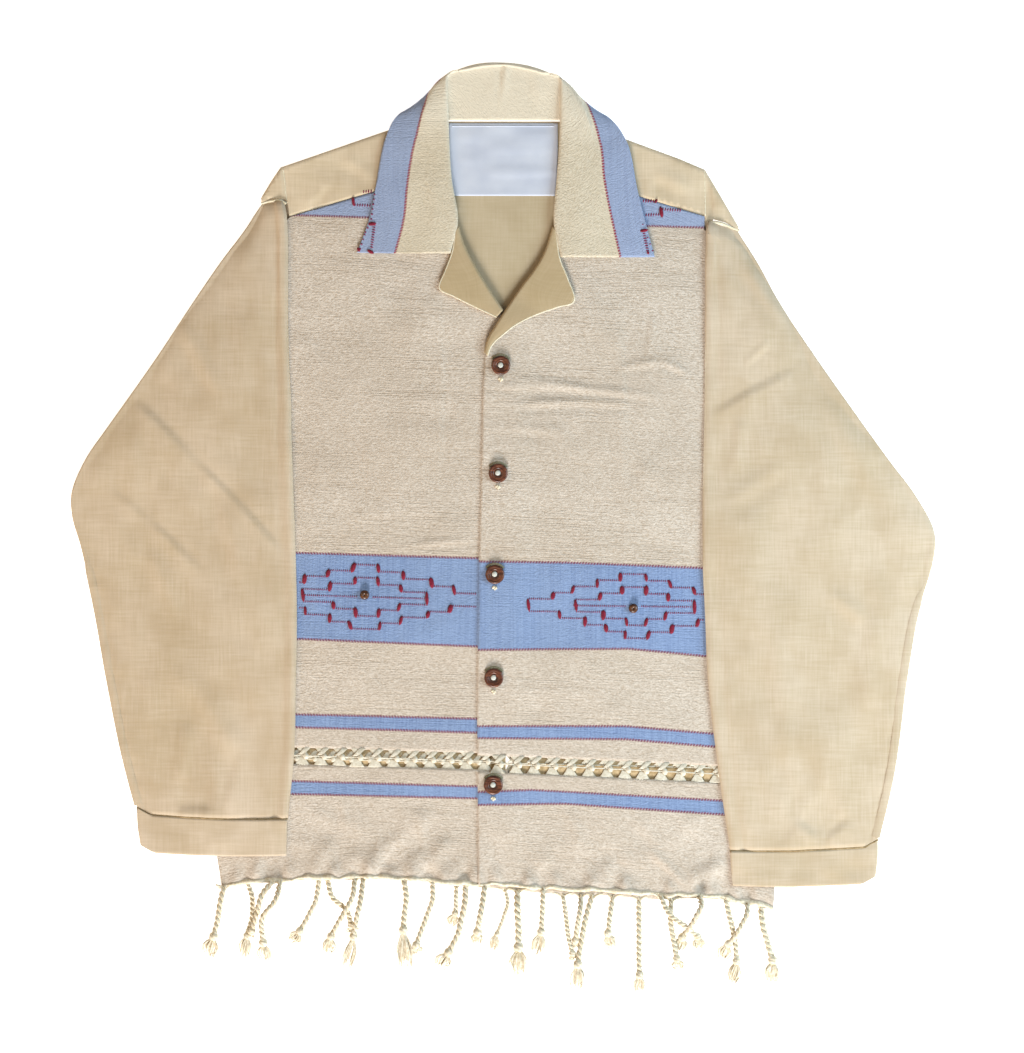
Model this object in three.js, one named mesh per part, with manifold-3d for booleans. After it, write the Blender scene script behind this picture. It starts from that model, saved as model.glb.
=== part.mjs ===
// A blanket shirt lying flat on its back: striped handwoven blanket cloth for the back, the
// fronts and the collar, finer plain cotton for the yoke, the sleeves, the cuffs and the lapels.
// Millimetres. +X runs to the left front, +Y to the collar, +Z up from the surface it lies on.
import * as THREE from 'three';
import { mergeVertices } from 'three/addons/utils/BufferGeometryUtils.js';
import Module from 'manifold-3d';

const wasm = await Module();
wasm.setup();

// ---------------------------------------------------------------- driving sizes
const BLANKET = 1.5; // wall of the blanket cloth
const FINE = 1.0; // wall of the finer cotton
const SLEEVE_WALL = 1.2;
const CUFF_WALL = 1.6; // two layers of the finer cotton
const COLLAR_WALL = 2.0; // two layers of blanket cloth, pressed
const SEAM = 0.3; // space kept between pieces that are sewn to each other

const BUTTON_RADIUS = 8.9;
const BEAD_RADIUS = 4.4;

// Heights of the middle of each wall above the surface.
const BACK_Z = BLANKET / 2;
const YOKE_Z = FINE / 2;
const FRONT_Z = BLANKET + SEAM + BLANKET / 2;
const LAYER_STEP = BLANKET + SEAM; // one front lying on the other
const YOKE_FLAP_Z = BLANKET + SEAM + FINE / 2;
const NECK_LIFT = 0.95; // the fronts rise here to let the facing pass under them
const OVERLAP_END = 8; // the left front comes down from the right one between these two x
const DROP_END = 34;
const SLEEVE_FLOOR_Z = SLEEVE_WALL / 2;
const SLEEVE_ON_FRONT_Z = FRONT_Z + BLANKET / 2 + SEAM + SLEEVE_WALL / 2;

// ---------------------------------------------------------------- tables
// Side edges of the body from the hem to the underarm, then the armhole up to the yoke's arc.
const BODY_EDGES = [
  { y: -360, left: -261, right: 250.5 },
  { y: -333, left: -262, right: 252 },
  { y: -305, left: -266.5, right: 253 },
  { y: 0, left: -256, right: 252 },
  { y: 98, left: -252.5, right: 251 },
  { y: 155, left: -244, right: 241 },
  { y: 211, left: -231, right: 228 },
  { y: 246, left: -222, right: 216 },
  { y: 270, left: -214, right: 204 },
  { y: 284, left: -210, right: 197.5 },
  { y: 290, left: -208.5, right: 194.5 },
  { y: 304, left: -206.5, right: 190 },
];
const UNDERARM_Y = 98;

// Hem line of the fronts, and how far the back's hem shows below it.
const HEM = [
  { x: -268, y: -336, backDrop: 0.5 },
  { x: -237, y: -330, backDrop: 0.5 },
  { x: -197, y: -327.5, backDrop: 0.5 },
  { x: -115, y: -326, backDrop: 3 },
  { x: -92, y: -327, backDrop: 3.5 },
  { x: -39, y: -331.5, backDrop: 4 },
  { x: 4, y: -333, backDrop: 4 },
  { x: 38, y: -335.5, backDrop: 4.5 },
  { x: 98, y: -337.5, backDrop: 4.5 },
  { x: 144, y: -342, backDrop: 4 },
  { x: 176, y: -342.5, backDrop: 3 },
  { x: 205, y: -345, backDrop: 0.5 },
  { x: 227, y: -350, backDrop: 0.5 },
  { x: 254, y: -355, backDrop: 0.5 },
];

// Lapels: the roll line, the outer edge that each point of it turns out to, the width of facing
// left under the front, and the angle at which the facing starts to go round the roll.
const LAPELS = {
  right: [
    { rollX: -41.5, rollY: 279.5, edgeX: -44.4, edgeY: 274.5, under: 8, start: -90 },
    { rollX: -38, rollY: 268, edgeX: -45.3, edgeY: 264, under: 18, start: -90 },
    { rollX: -34.5, rollY: 259, edgeX: -48, edgeY: 252.5, under: 18, start: -90 },
    { rollX: -30, rollY: 250, edgeX: -53.5, edgeY: 238, under: 18, start: -90 },
    { rollX: -24, rollY: 239, edgeX: -59, edgeY: 222, under: 18, start: -90 },
    { rollX: -17, rollY: 227.5, edgeX: -46, edgeY: 214.5, under: 14, start: -90 },
    { rollX: -9, rollY: 215, edgeX: -28, edgeY: 205.5, under: 6, start: -90 },
    { rollX: -4, rollY: 207.5, edgeX: -13, edgeY: 198.5, under: 1, start: -90 },
  ],
  left: [
    { rollX: 45.5, rollY: 279.5, edgeX: 48.4, edgeY: 274.5, under: 8, start: -90 },
    { rollX: 42, rollY: 268, edgeX: 49.5, edgeY: 263, under: 18, start: -90 },
    { rollX: 38.5, rollY: 258, edgeX: 52, edgeY: 248.5, under: 18, start: -90 },
    { rollX: 33, rollY: 247, edgeX: 59, edgeY: 231, under: 18, start: -90 },
    { rollX: 26, rollY: 236.5, edgeX: 65, edgeY: 210, under: 18, start: -90 },
    { rollX: 18, rollY: 226, edgeX: 50, edgeY: 204.5, under: 14, start: -90 },
    { rollX: 10, rollY: 214.5, edgeX: 34, edgeY: 199, under: 1, start: -90 },
    { rollX: 3, rollY: 205, edgeX: 19, edgeY: 193, under: 0, start: -50 },
    { rollX: -3, rollY: 194, edgeX: 7, edgeY: 187, under: 0, start: -10 },
    { rollX: -7.5, rollY: 184, edgeX: -1.5, edgeY: 180, under: 0, start: 0 },
  ],
};
const ROLL_ROOM = 3; // from the roll line to the edge of the front's flat part

// Inner edges of the fronts above and below their lapels.
const RIGHT_FRONT_EDGE = [{ x: 4.5, y: -360 }, { x: 4.5, y: 188 }];
const LEFT_FRONT_EDGE = [
  { x: -23, y: -360 },
  { x: -24.5, y: -180 },
  { x: -23, y: -31 },
  { x: -21, y: 29 },
  { x: -20, y: 81 },
  { x: -19, y: 133 },
  { x: -17, y: 157 },
  { x: -12, y: 172 },
];
const NECK_EDGE = [{ x: -50, y: 300 }, { x: -55, y: 340 }];

// Front yoke seam and shoulder fold, as heights y at x.
const YOKE_SEAM = {
  left: [{ x: -225, y: 288.5 }, { x: -199, y: 288.5 }, { x: -120, y: 312 }, { x: -55, y: 333 }],
  right: [{ x: 55, y: 328.5 }, { x: 127, y: 307 }, { x: 187, y: 289 }, { x: 220, y: 289 }],
};
const SHOULDER_FOLD = {
  left: [{ x: -225, y: 306 }, { x: -208, y: 334 }, { x: -107, y: 369 }, { x: -63, y: 384.5 }],
  right: [{ x: 64, y: 379 }, { x: 110, y: 362 }, { x: 186, y: 334 }, { x: 218, y: 279.5 }],
};
// Arc in which the yoke meets the sleeve on the shoulder.
const SHOULDER_ARC = {
  left: [{ x: -225, y: 301.6 }, { x: -213, y: 304.6 }, { x: -201, y: 303.6 }, { x: -199, y: 290 }],
  right: [{ x: 187, y: 285.5 }, { x: 196, y: 286 }, { x: 206, y: 283 }, { x: 218, y: 276.6 }],
};
const YOKE_BACK_SEAM_Y = 185;
const NECK_LINE_Y = 377;
const YOKE_NECK = { left: -63, right: 64 }; // where the front parts of the yoke end

// Collar leaves, a row for each section from the front end to the top of the shoulder: the roll
// edge, the outer edge or silhouette, the wall's height at both, the part turned in under the
// roll, how far the edge turns under (0 open, 1 folded) and what then lies below.
const COLLAR_LEAVES = {
  left: [
    { rollX: -50.5, rollY: 254.3, outX: -137, outY: 254.3, lowZ: 5.5, outZ: 4.7, lip: 5, wrap: 0, below: 3 },
    { rollX: -44.5, rollY: 283, outX: -127, outY: 282, lowZ: 5.5, outZ: 4.8, lip: 8, wrap: 0, below: 3 },
    { rollX: -49.5, rollY: 322, outX: -119.5, outY: 318, lowZ: 5.2, outZ: 4.8, lip: 11, wrap: 0, below: 3 },
    { rollX: -51.5, rollY: 353, outX: -112, outY: 352, lowZ: 4.8, outZ: 4.9, lip: 12, wrap: 0, below: 3 },
    { rollX: -52, rollY: 367, outX: -106, outY: 367, lowZ: 4.8, outZ: 5.1, lip: 10, wrap: 0, below: 3 },
    { rollX: -52.5, rollY: 380, outX: -99.5, outY: 380, lowZ: 4.8, outZ: 5.2, lip: 8, wrap: 0.45, below: 1.5 },
    { rollX: -52.5, rollY: 395, outX: -80, outY: 396, lowZ: 4.8, outZ: 5.2, lip: 6, wrap: 1, below: 7 },
    { rollX: -52.5, rollY: 411, outX: -64, outY: 411, lowZ: 4.6, outZ: 5.0, lip: 4, wrap: 1, below: 4 },
  ],
  right: [
    { rollX: 54, rollY: 250.3, outX: 141, outY: 250.3, lowZ: 5.5, outZ: 4.7, lip: 5, wrap: 0, below: 3 },
    { rollX: 48, rollY: 283, outX: 133.5, outY: 279, lowZ: 5.5, outZ: 4.8, lip: 8, wrap: 0, below: 3 },
    { rollX: 50, rollY: 318, outX: 125, outY: 314, lowZ: 5.2, outZ: 4.8, lip: 11, wrap: 0, below: 3 },
    { rollX: 53, rollY: 350, outX: 118, outY: 350, lowZ: 4.8, outZ: 4.9, lip: 12, wrap: 0, below: 3 },
    { rollX: 53.5, rollY: 363, outX: 109.5, outY: 363, lowZ: 4.8, outZ: 5.1, lip: 10, wrap: 0, below: 3 },
    { rollX: 54, rollY: 376, outX: 99.5, outY: 376, lowZ: 4.8, outZ: 5.2, lip: 8, wrap: 0.45, below: 1.5 },
    { rollX: 54, rollY: 392, outX: 80, outY: 392, lowZ: 4.8, outZ: 5.2, lip: 6, wrap: 1, below: 7 },
    { rollX: 54, rollY: 409, outX: 64.5, outY: 409, lowZ: 4.6, outZ: 5.0, lip: 4, wrap: 1, below: 4 },
  ],
};
// Back of the collar: the line of its top fold.
const COLLAR_TOP = [
  { x: -57, y: 414 },
  { x: -50, y: 420.5 },
  { x: -33, y: 426 },
  { x: -11, y: 430.2 },
  { x: 2, y: 430.4 },
  { x: 18, y: 427.5 },
  { x: 37, y: 423 },
  { x: 51, y: 418 },
  { x: 58, y: 411 },
];
const COLLAR_SEAM_Y = NECK_LINE_Y + 0.8;
const COLLAR_HEM_Y = 400; // edge of the part folded under at the back

// Sleeves, a row for each section from the armhole to the cuff: outer fold, inner fold, the
// height of the part lying on the front, and whether the armhole is still open here.
const SLEEVES = {
  right: [
    { outX: -225, outY: 300.5, inX: -203.2, inY: 303, lift: 2.1, open: true },
    { outX: -230, outY: 293.5, inX: -201.3, inY: 295, lift: 4.2, open: true },
    { outX: -240, outY: 278, inX: -199.5, inY: 278, lift: 4.2, open: true },
    { outX: -264, outY: 246, inX: -199, inY: 246, lift: 4.2, open: true },
    { outX: -288, outY: 211, inX: -199, inY: 211, lift: 4.2, open: true },
    { outX: -323, outY: 158, inX: -198, inY: 158, lift: 4.2, open: true },
    { outX: -361, outY: 104, inX: -196, inY: 104, lift: 4.2, open: true },
    { outX: -371, outY: 90, inX: -196, inY: 90, lift: 4.2, open: false },
    { outX: -390, outY: 62, inX: -195, inY: 60, lift: 4.2, open: false },
    { outX: -402.5, outY: 31, inX: -194, inY: 30, lift: 4.2, open: false },
    { outX: -402, outY: 11, inX: -193, inY: 5, lift: 4.2, open: false },
    { outX: -394, outY: -17, inX: -192, inY: -28, lift: 4.2, open: false },
    { outX: -383, outY: -68, inX: -191, inY: -77, lift: 4.2, open: false },
    { outX: -370, outY: -142, inX: -192, inY: -147, lift: 4.2, open: false },
    { outX: -357, outY: -207, inX: -193.5, inY: -210, lift: 4.2, open: false },
    { outX: -341.5, outY: -260, inX: -199, inY: -270.5, lift: 4.2, open: false },
  ],
  left: [
    { outX: 218, outY: 275.5, inX: 188, inY: 284.5, lift: 2.1, open: true },
    { outX: 222, outY: 269, inX: 187.3, inY: 276, lift: 4.2, open: true },
    { outX: 228, outY: 260, inX: 187, inY: 265, lift: 4.2, open: true },
    { outX: 238, outY: 244, inX: 186.5, inY: 246, lift: 4.2, open: true },
    { outX: 256, outY: 211, inX: 186.5, inY: 211, lift: 4.2, open: true },
    { outX: 291, outY: 158, inX: 186, inY: 158, lift: 4.2, open: true },
    { outX: 329, outY: 104, inX: 185.5, inY: 104, lift: 4.2, open: true },
    { outX: 339, outY: 90, inX: 185.3, inY: 90, lift: 4.2, open: false },
    { outX: 360, outY: 61, inX: 184.5, inY: 58, lift: 4.2, open: false },
    { outX: 384, outY: 29, inX: 184, inY: 25, lift: 4.2, open: false },
    { outX: 401.5, outY: -6, inX: 184, inY: -12, lift: 4.2, open: false },
    { outX: 400, outY: -32, inX: 184.3, inY: -45, lift: 4.2, open: false },
    { outX: 389, outY: -70, inX: 186, inY: -78, lift: 4.2, open: false },
    { outX: 376, outY: -142, inX: 189, inY: -142, lift: 4.2, open: false },
    { outX: 366, outY: -216, inX: 198.5, inY: -224, lift: 4.2, open: false },
    { outX: 348.5, outY: -290, inX: 209.5, inY: -300, lift: 4.2, open: false },
  ],
};

const CUFFS = {
  right: [
    { outX: -341.5, outY: -260.9, inX: -200, inY: -271.4 },
    { outX: -341, outY: -276, inX: -200.3, inY: -287 },
    { outX: -338, outY: -296, inX: -200.8, inY: -305 },
  ],
  left: [
    { outX: 348.5, outY: -290.9, inX: 209.5, inY: -300.9 },
    { outX: 348.5, outY: -306, inX: 210.5, inY: -317 },
    { outX: 346.5, outY: -325, inX: 212, inY: -333 },
  ],
};

// Openwork: two holes in each repeat, above and below a thread that runs along the middle.
const OPENWORK_PITCH = 16.9;
const OPENWORK_LINE = { right: { y: -213.5, slope: -0.03 }, left: { y: -221, slope: -0.045 } };
const HOLE_WIDTH = 8.6;
const HOLE_DEPTH = 6.8;
const MIDDLE_THREAD = 2.2;

// Largest soft folds of the fronts: a straight crest from one point to another.
const FOLDS = {
  right: [
    { x0: -110, y0: -21, x1: -42, y1: -13, height: 0.9, half: 12 },
    { x0: -150, y0: 120, x1: -90, y1: 60, height: 0.7, half: 16 },
  ],
  left: [
    { x0: 0, y0: 130, x1: 150, y1: 120, height: 1.0, half: 11 },
    { x0: 100, y0: 148, x1: 165, y1: 146, height: 0.8, half: 12 },
  ],
};
// Heights y of the panels' rows; none lies in the openwork.
const PANEL_ROWS = [-300, -252, -241, -198, -150, -100, -60, -32, -17, -2, 40, 80, 108, 119, 130, 141, 152, 168];
const NECK_ROWS = [180, 188, 197, 205, 213, 225, 237, 248, 257, 266, 270.5, 275.5, 287];

const BUTTONS = [
  { x: -2.5, y: 150 },
  { x: -5, y: 50 },
  { x: -8, y: -44 },
  { x: -9, y: -140 },
  { x: -9.5, y: -239.5 },
];
const BEADS = { right: { x: -129, y: -63 }, left: { x: 120.5, y: -75.5 } };

// Cords of the fringe: where each leaves the hem, two points of its route, its knot and the tip
// of its tuft; its thickness, and how high it passes over another cord.
const FRINGE = {
  front_right: [
    { x: -259, ax: -263, ay: -350, bx: -265, by: -365, kx: -269, ky: -380, tx: -274, ty: -398, thick: 4.6, over: 0 },
    { x: -238, ax: -233, ay: -347, bx: -233, by: -359, kx: -238, ky: -379.5, tx: -241, ty: -398, thick: 3.8, over: 0 },
    { x: -213, ax: -225, ay: -344, bx: -228, by: -356, kx: -234, ky: -375, tx: -236, ty: -378, thick: 4.4, over: 4.8 },
    { x: -207, ax: -212, ay: -347, bx: -222, by: -360, kx: -223, ky: -386, tx: -221, ty: -402, thick: 4.4, over: 9.4 },
    { x: -171, ax: -175, ay: -350, bx: -184, by: -367, kx: -189, ky: -375, tx: -197, ty: -384, thick: 4.2, over: 0 },
    { x: -164, ax: -157, ay: -346, bx: -147, by: -354, kx: -141, ky: -370, tx: -140, ty: -376, thick: 4.0, over: 0 },
    { x: -138, ax: -141, ay: -346, bx: -150, by: -362, kx: -160, ky: -380, tx: -164, ty: -394, thick: 4.2, over: 4.8 },
    { x: -130, ax: -133, ay: -350, bx: -136, by: -364, kx: -139, ky: -380, tx: -146, ty: -406, thick: 4.4, over: 4.8 },
    { x: -93, ax: -90, ay: -346, bx: -92, by: -362, kx: -93, ky: -374, tx: -91, ty: -406, thick: 4.6, over: 0 },
    { x: -66, ax: -66, ay: -348, bx: -73, by: -367, kx: -81, ky: -388, tx: -80, ty: -396, thick: 4.2, over: 0 },
    { x: -35, ax: -36, ay: -352, bx: -42, by: -378, kx: -51, ky: -395, tx: -59, ty: -408, thick: 4.8, over: 0 },
  ],
  front_left: [
    { x: -17, ax: -20, ay: -353, bx: -22, by: -364, kx: -24, ky: -376, tx: -25, ty: -386, thick: 4.6, over: 4.8 },
    { x: 37, ax: 36.5, ay: -350, bx: 36, by: -364, kx: 35, ky: -376, tx: 30, ty: -395, thick: 4.2, over: 0 },
    { x: 145, ax: 156, ay: -361, bx: 170, by: -371, kx: 180, ky: -380, tx: 181, ty: -391, thick: 4.0, over: 4.8 },
    { x: 182, ax: 183, ay: -352, bx: 176, by: -366, kx: 166, ky: -381, tx: 164, ty: -392, thick: 4.4, over: 9.4 },
    { x: 206, ax: 211, ay: -366, bx: 215, by: -383, kx: 216.5, ky: -403, tx: 212, ty: -422, thick: 4.2, over: 0 },
    { x: 227, ax: 225, ay: -361, bx: 216, by: -378, kx: 209, ky: -387, tx: 204, ty: -400, thick: 4.2, over: 4.8 },
    { x: 239, ax: 241, ay: -371, bx: 247, by: -392, kx: 250, ky: -402, tx: 249, ty: -421, thick: 4.8, over: 0 },
  ],
  back: [
    { x: -44, ax: -44, ay: -345, bx: -44, by: -352, kx: -45, ky: -359, tx: -48, ty: -369, thick: 3.4, over: 0 },
    { x: 1, ax: 4, ay: -351, bx: -1, by: -366, kx: -6, ky: -378, tx: -10, ty: -392, thick: 3.0, over: 0 },
    { x: 13, ax: 13, ay: -353, bx: 14, by: -370, kx: 14, ky: -390, tx: 14, ty: -414, thick: 5.2, over: 0 },
    { x: 55, ax: 58, ay: -361, bx: 60, by: -379, kx: 64, ky: -396, tx: 66, ty: -401, thick: 3.6, over: 0 },
    { x: 72, ax: 71, ay: -356, bx: 69, by: -369, kx: 67, ky: -384, tx: 67, ty: -390, thick: 4.0, over: 4.8 },
    { x: 83, ax: 76, ay: -366, bx: 72, by: -388, kx: 69, ky: -406, tx: 68, ty: -428, thick: 4.6, over: 0 },
    { x: 102, ax: 99, ay: -361, bx: 98, by: -372, kx: 97, ky: -377, tx: 101, ty: -390, thick: 4.2, over: 0 },
    { x: 126, ax: 126, ay: -384, bx: 126, by: -404, kx: 126.5, ky: -416, tx: 126, ty: -430, thick: 4.4, over: 0 },
    { x: 156, ax: 155.5, ay: -370, bx: 159, by: -389, kx: 161, ky: -401, tx: 163, ty: -410, thick: 4.2, over: 0 },
  ],
};
const STRIP_WIDTH = 2;
const STRIP_HEIGHT = 1.0;
const STRIP_END = 1.5; // the strip ends this far inside the panel's corner
const CORD_CLEAR = 0.3; // lowest side of a cord above the surface

// ---------------------------------------------------------------- helpers
// Column `out` of a table at `value` of its column `at`, on straight lines between the rows.
function read(table, at, value, out) {
  const last = table.length - 1;
  let i = table.findIndex((row) => row[at] >= value);
  if (i === -1) i = last;
  if (i === 0) i = 1;
  const [from, to] = [table[i - 1], table[i]];
  const t = THREE.MathUtils.clamp((value - from[at]) / (to[at] - from[at]), 0, 1);
  return THREE.MathUtils.lerp(from[out], to[out], t);
}

const point = (x, y, z) => new THREE.Vector3(x, y, z);
const ramp = THREE.MathUtils.smoothstep;
const radians = THREE.MathUtils.degToRad;

// The closed wall of cloth on both sides of a grid of middle points. A ring joins its last
// column to its first. `upright` keeps the outline exact by moving the points straight up.
function clothWall(rows, wall, { ring = false, upright = false } = {}) {
  const across = rows[0].length;
  const down = rows.length;
  const wrapped = (j) => (ring ? (j + across) % across : THREE.MathUtils.clamp(j, 0, across - 1));
  const at = (i, j) => rows[THREE.MathUtils.clamp(i, 0, down - 1)][wrapped(j)];
  const outside = [];
  const inside = [];
  for (let i = 0; i < down; i += 1) {
    for (let j = 0; j < across; j += 1) {
      const alongRow = at(i, j + 1).clone().sub(at(i, j - 1));
      const alongColumn = at(i + 1, j).clone().sub(at(i - 1, j));
      const normal = alongRow.cross(alongColumn).normalize();
      if (upright) normal.set(0, 0, Math.sign(normal.z));
      outside.push(...at(i, j).clone().addScaledVector(normal, wall / 2).toArray());
      inside.push(...at(i, j).clone().addScaledVector(normal, -wall / 2).toArray());
    }
  }
  const inner = down * across;
  const index = [];
  const quad = (a, b, c, d) => index.push(a, b, c, a, c, d);
  const columns = ring ? across : across - 1;
  for (let i = 0; i < down - 1; i += 1) {
    for (let j = 0; j < columns; j += 1) {
      const a = i * across + j;
      const b = i * across + ((j + 1) % across);
      const c = b + across;
      const d = a + across;
      quad(a, b, c, d);
      quad(inner + a, inner + d, inner + c, inner + b);
      if (i === 0) quad(b, a, inner + a, inner + b);
      if (i === down - 2) quad(d, c, inner + c, inner + d);
      if (!ring && j === 0) quad(a, d, inner + d, inner + a);
      if (!ring && j === columns - 1) quad(c, b, inner + b, inner + c);
    }
  }
  const geometry = new THREE.BufferGeometry();
  geometry.setAttribute('position', new THREE.Float32BufferAttribute([...outside, ...inside], 3));
  geometry.setIndex(index);
  return geometry;
}

// More rows between the given ones, on smooth curves through them.
function smoothRows(rows, steps) {
  const curves = rows[0].map((_, j) => {
    return new THREE.CatmullRomCurve3(rows.map((row) => row[j]), false, 'catmullrom', 0.5);
  });
  const count = (rows.length - 1) * steps;
  return Array.from({ length: count + 1 }, (_, i) => curves.map((curve) => curve.getPoint(i / count)));
}

function toSolid(geometry) {
  const bare = geometry.clone();
  bare.deleteAttribute('normal');
  bare.deleteAttribute('uv');
  const merged = mergeVertices(bare, 1e-4);
  return new wasm.Manifold(new wasm.Mesh({
    numProp: 3,
    vertProperties: new Float32Array(merged.attributes.position.array),
    triVerts: new Uint32Array(merged.index.array),
  }));
}

function toGeometry(solid) {
  const mesh = solid.getMesh();
  const geometry = new THREE.BufferGeometry();
  geometry.setAttribute('position', new THREE.BufferAttribute(mesh.vertProperties, 3));
  geometry.setIndex(new THREE.BufferAttribute(mesh.triVerts, 1));
  return geometry;
}

function joined(geometries) {
  const [first, ...others] = geometries.map(toSolid);
  return toGeometry(others.reduce((whole, next) => whole.add(next), first));
}

// ---------------------------------------------------------------- heights of the fronts
function foldHeight(folds, x, y) {
  return folds.reduce((sum, fold) => {
    const run = new THREE.Vector2(fold.x1 - fold.x0, fold.y1 - fold.y0);
    const from = new THREE.Vector2(x - fold.x0, y - fold.y0);
    const t = THREE.MathUtils.clamp(from.dot(run) / run.lengthSq(), 0, 1);
    const away = from.addScaledVector(run, -t).length();
    return sum + fold.height * (1 - ramp(away, 0, fold.half));
  }, 0);
}

function neckLift(x, y) {
  return NECK_LIFT * (1 - ramp(Math.abs(x), 70, 100)) * ramp(y, 168, 192) * (1 - ramp(y, 290, 322));
}

function rightFrontZ(x, y) {
  return FRONT_Z + neckLift(x, y) + foldHeight(FOLDS.right, x, y);
}

function leftFrontZ(x, y) {
  const onRightFront = (1 - ramp(x, OVERLAP_END, DROP_END)) * (1 - ramp(y, 196, 210));
  return FRONT_Z + neckLift(x, y) + LAYER_STEP * onRightFront + foldHeight(FOLDS.left, x, y);
}

// ---------------------------------------------------------------- panels
const HEM_LEVEL = -340; // where the side edges are read for the row on the hem

// Rows of points across a panel; the first row follows the hem.
function panelRows({ levels, places, topY, hemY, height }) {
  const line = (yNear, yAt) => places(yNear).map((x) => point(x, yAt(x), height(x, yAt(x))));
  const rows = levels.map((y) => line(y, () => y));
  rows.unshift(line(HEM_LEVEL, hemY));
  rows.push(line(topY.level, topY.at));
  return rows;
}

// Places from one x to another, the same distance apart.
function spread(from, to, count) {
  return Array.from({ length: count + 1 }, (_, j) => THREE.MathUtils.lerp(from, to, j / count));
}

// One hole of the openwork as a prism: a house shape, upright or upside down.
function openworkHole(x, y, up) {
  const foot = HOLE_WIDTH * 0.36;
  const half = HOLE_WIDTH / 2;
  const outline = new THREE.Shape([
    new THREE.Vector2(-foot, 0),
    new THREE.Vector2(foot, 0),
    new THREE.Vector2(half, HOLE_DEPTH * 0.5),
    new THREE.Vector2(0, HOLE_DEPTH),
    new THREE.Vector2(-half, HOLE_DEPTH * 0.5),
  ]);
  const prism = new THREE.ExtrudeGeometry(outline, { depth: 30, bevelEnabled: false });
  if (!up) prism.rotateZ(Math.PI);
  prism.translate(x, y + (up ? MIDDLE_THREAD : -MIDDLE_THREAD) / 2, -10);
  return toSolid(prism);
}

// Cuts the openwork into a panel between two x places.
function withOpenwork(geometry, fromX, toX, line) {
  const count = Math.floor((toX - fromX) / OPENWORK_PITCH);
  const start = (fromX + toX) / 2 - ((count - 1) * OPENWORK_PITCH) / 2;
  const holes = [];
  for (let i = 0; i < count; i += 1) {
    const x = start + i * OPENWORK_PITCH;
    const y = line.y + line.slope * (x - fromX);
    holes.push(openworkHole(x, y, true), openworkHole(x, y, false));
  }
  return toGeometry(holes.reduce((panel, hole) => panel.subtract(hole), toSolid(geometry)));
}

const edgeLeft = (y) => read(BODY_EDGES, 'y', y, 'left');
const edgeRight = (y) => read(BODY_EDGES, 'y', y, 'right');
const frontHem = (x) => read(HEM, 'x', x, 'y');
const backHem = (x) => frontHem(x) - read(HEM, 'x', x, 'backDrop');

const backPlaces = (y) => spread(edgeLeft(y), edgeRight(y), 9);

function backPanel() {
  const rows = panelRows({
    levels: [-300, -252, -241, -198, 0, UNDERARM_Y, 155],
    places: backPlaces,
    topY: { level: YOKE_BACK_SEAM_Y - SEAM, at: () => YOKE_BACK_SEAM_Y - SEAM },
    hemY: backHem,
    height: () => BACK_Z,
  });
  const panel = clothWall(rows, BLANKET, { upright: true });
  return withOpenwork(panel, -262, 250, { y: -214, slope: -0.022 });
}

// Edge of a front's flat part: below the lapel, along the roll, then up the neck.
function innerEdge(lapel, lower, side) {
  const roll = lapel.map((row) => {
    const out = new THREE.Vector2(row.edgeX - row.rollX, row.edgeY - row.rollY).normalize();
    return { x: row.rollX + out.x * ROLL_ROOM, y: row.rollY + out.y * ROLL_ROOM };
  });
  const neck = NECK_EDGE.map((row) => ({ x: side < 0 ? row.x : -row.x, y: row.y }));
  return [...lower, ...roll.reverse(), ...neck];
}

function lapelOut(row) {
  return point(row.edgeX - row.rollX, row.edgeY - row.rollY, 0);
}

// Half turn of cloth round the roll line and out to the lapel's edge. `gap` is how far the wall
// lies from the front's own middle; the facing also keeps a strip under the front.
function rollSections(lapel, { frontZ, radius, reach, facing }) {
  return lapel.map((row) => {
    const out = lapelOut(row).normalize();
    const width = lapelOut(row).length() + reach;
    const base = frontZ(row.rollX + out.x * ROLL_ROOM, row.rollY + out.y * ROLL_ROOM);
    const centreZ = base + LAYER_STEP / 2;
    const on = (u, z) => point(row.rollX + out.x * u, row.rollY + out.y * u, z);
    const start = facing ? row.start : -90;
    const turn = [0, 0.25, 0.5, 0.75, 1].map((t) => {
      const angle = radians(THREE.MathUtils.lerp(start, 90, t));
      return on(ROLL_ROOM - radius * Math.cos(angle), centreZ + radius * Math.sin(angle));
    });
    const below = Math.max(row.under, 0.8);
    const first = facing && row.start > -90
      ? turn[0].clone().lerp(turn[1], -0.25)
      : on(ROLL_ROOM + (facing ? below : 1), centreZ - radius);
    const farZ = centreZ + radius;
    return [first, ...turn, on(THREE.MathUtils.lerp(ROLL_ROOM, width, 0.5), farZ + 0.15), on(width, farZ)];
  });
}

// Outer edges of the fronts near the shoulder, where they end at the sleeve's fold.
const RIGHT_FRONT_TOP = [{ y: 277, x: -212 }, { y: 287, x: -199.5 }];
const LEFT_FRONT_TOP = [{ y: 266, x: 206 }, { y: 270.5, x: 202.5 }, { y: 275.5, x: 186.8 }];

const rightInner = innerEdge(LAPELS.right, RIGHT_FRONT_EDGE, -1);
const leftInner = innerEdge(LAPELS.left, LEFT_FRONT_EDGE, 1);

function rightPlaces(y) {
  const outer = y > RIGHT_FRONT_TOP[0].y ? read(RIGHT_FRONT_TOP, 'y', y, 'x') : edgeLeft(y);
  return spread(outer, read(rightInner, 'y', y, 'x'), 8);
}

function leftPlaces(y) {
  const outer = y > LEFT_FRONT_TOP[0].y ? read(LEFT_FRONT_TOP, 'y', y, 'x') : edgeRight(y);
  const inner = read(leftInner, 'y', y, 'x');
  const overlapEnd = Math.max(OVERLAP_END, inner + 8);
  const dropEnd = Math.max(DROP_END, inner + 24);
  return [inner, overlapEnd, ...spread(dropEnd, outer, 6)];
}

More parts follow.
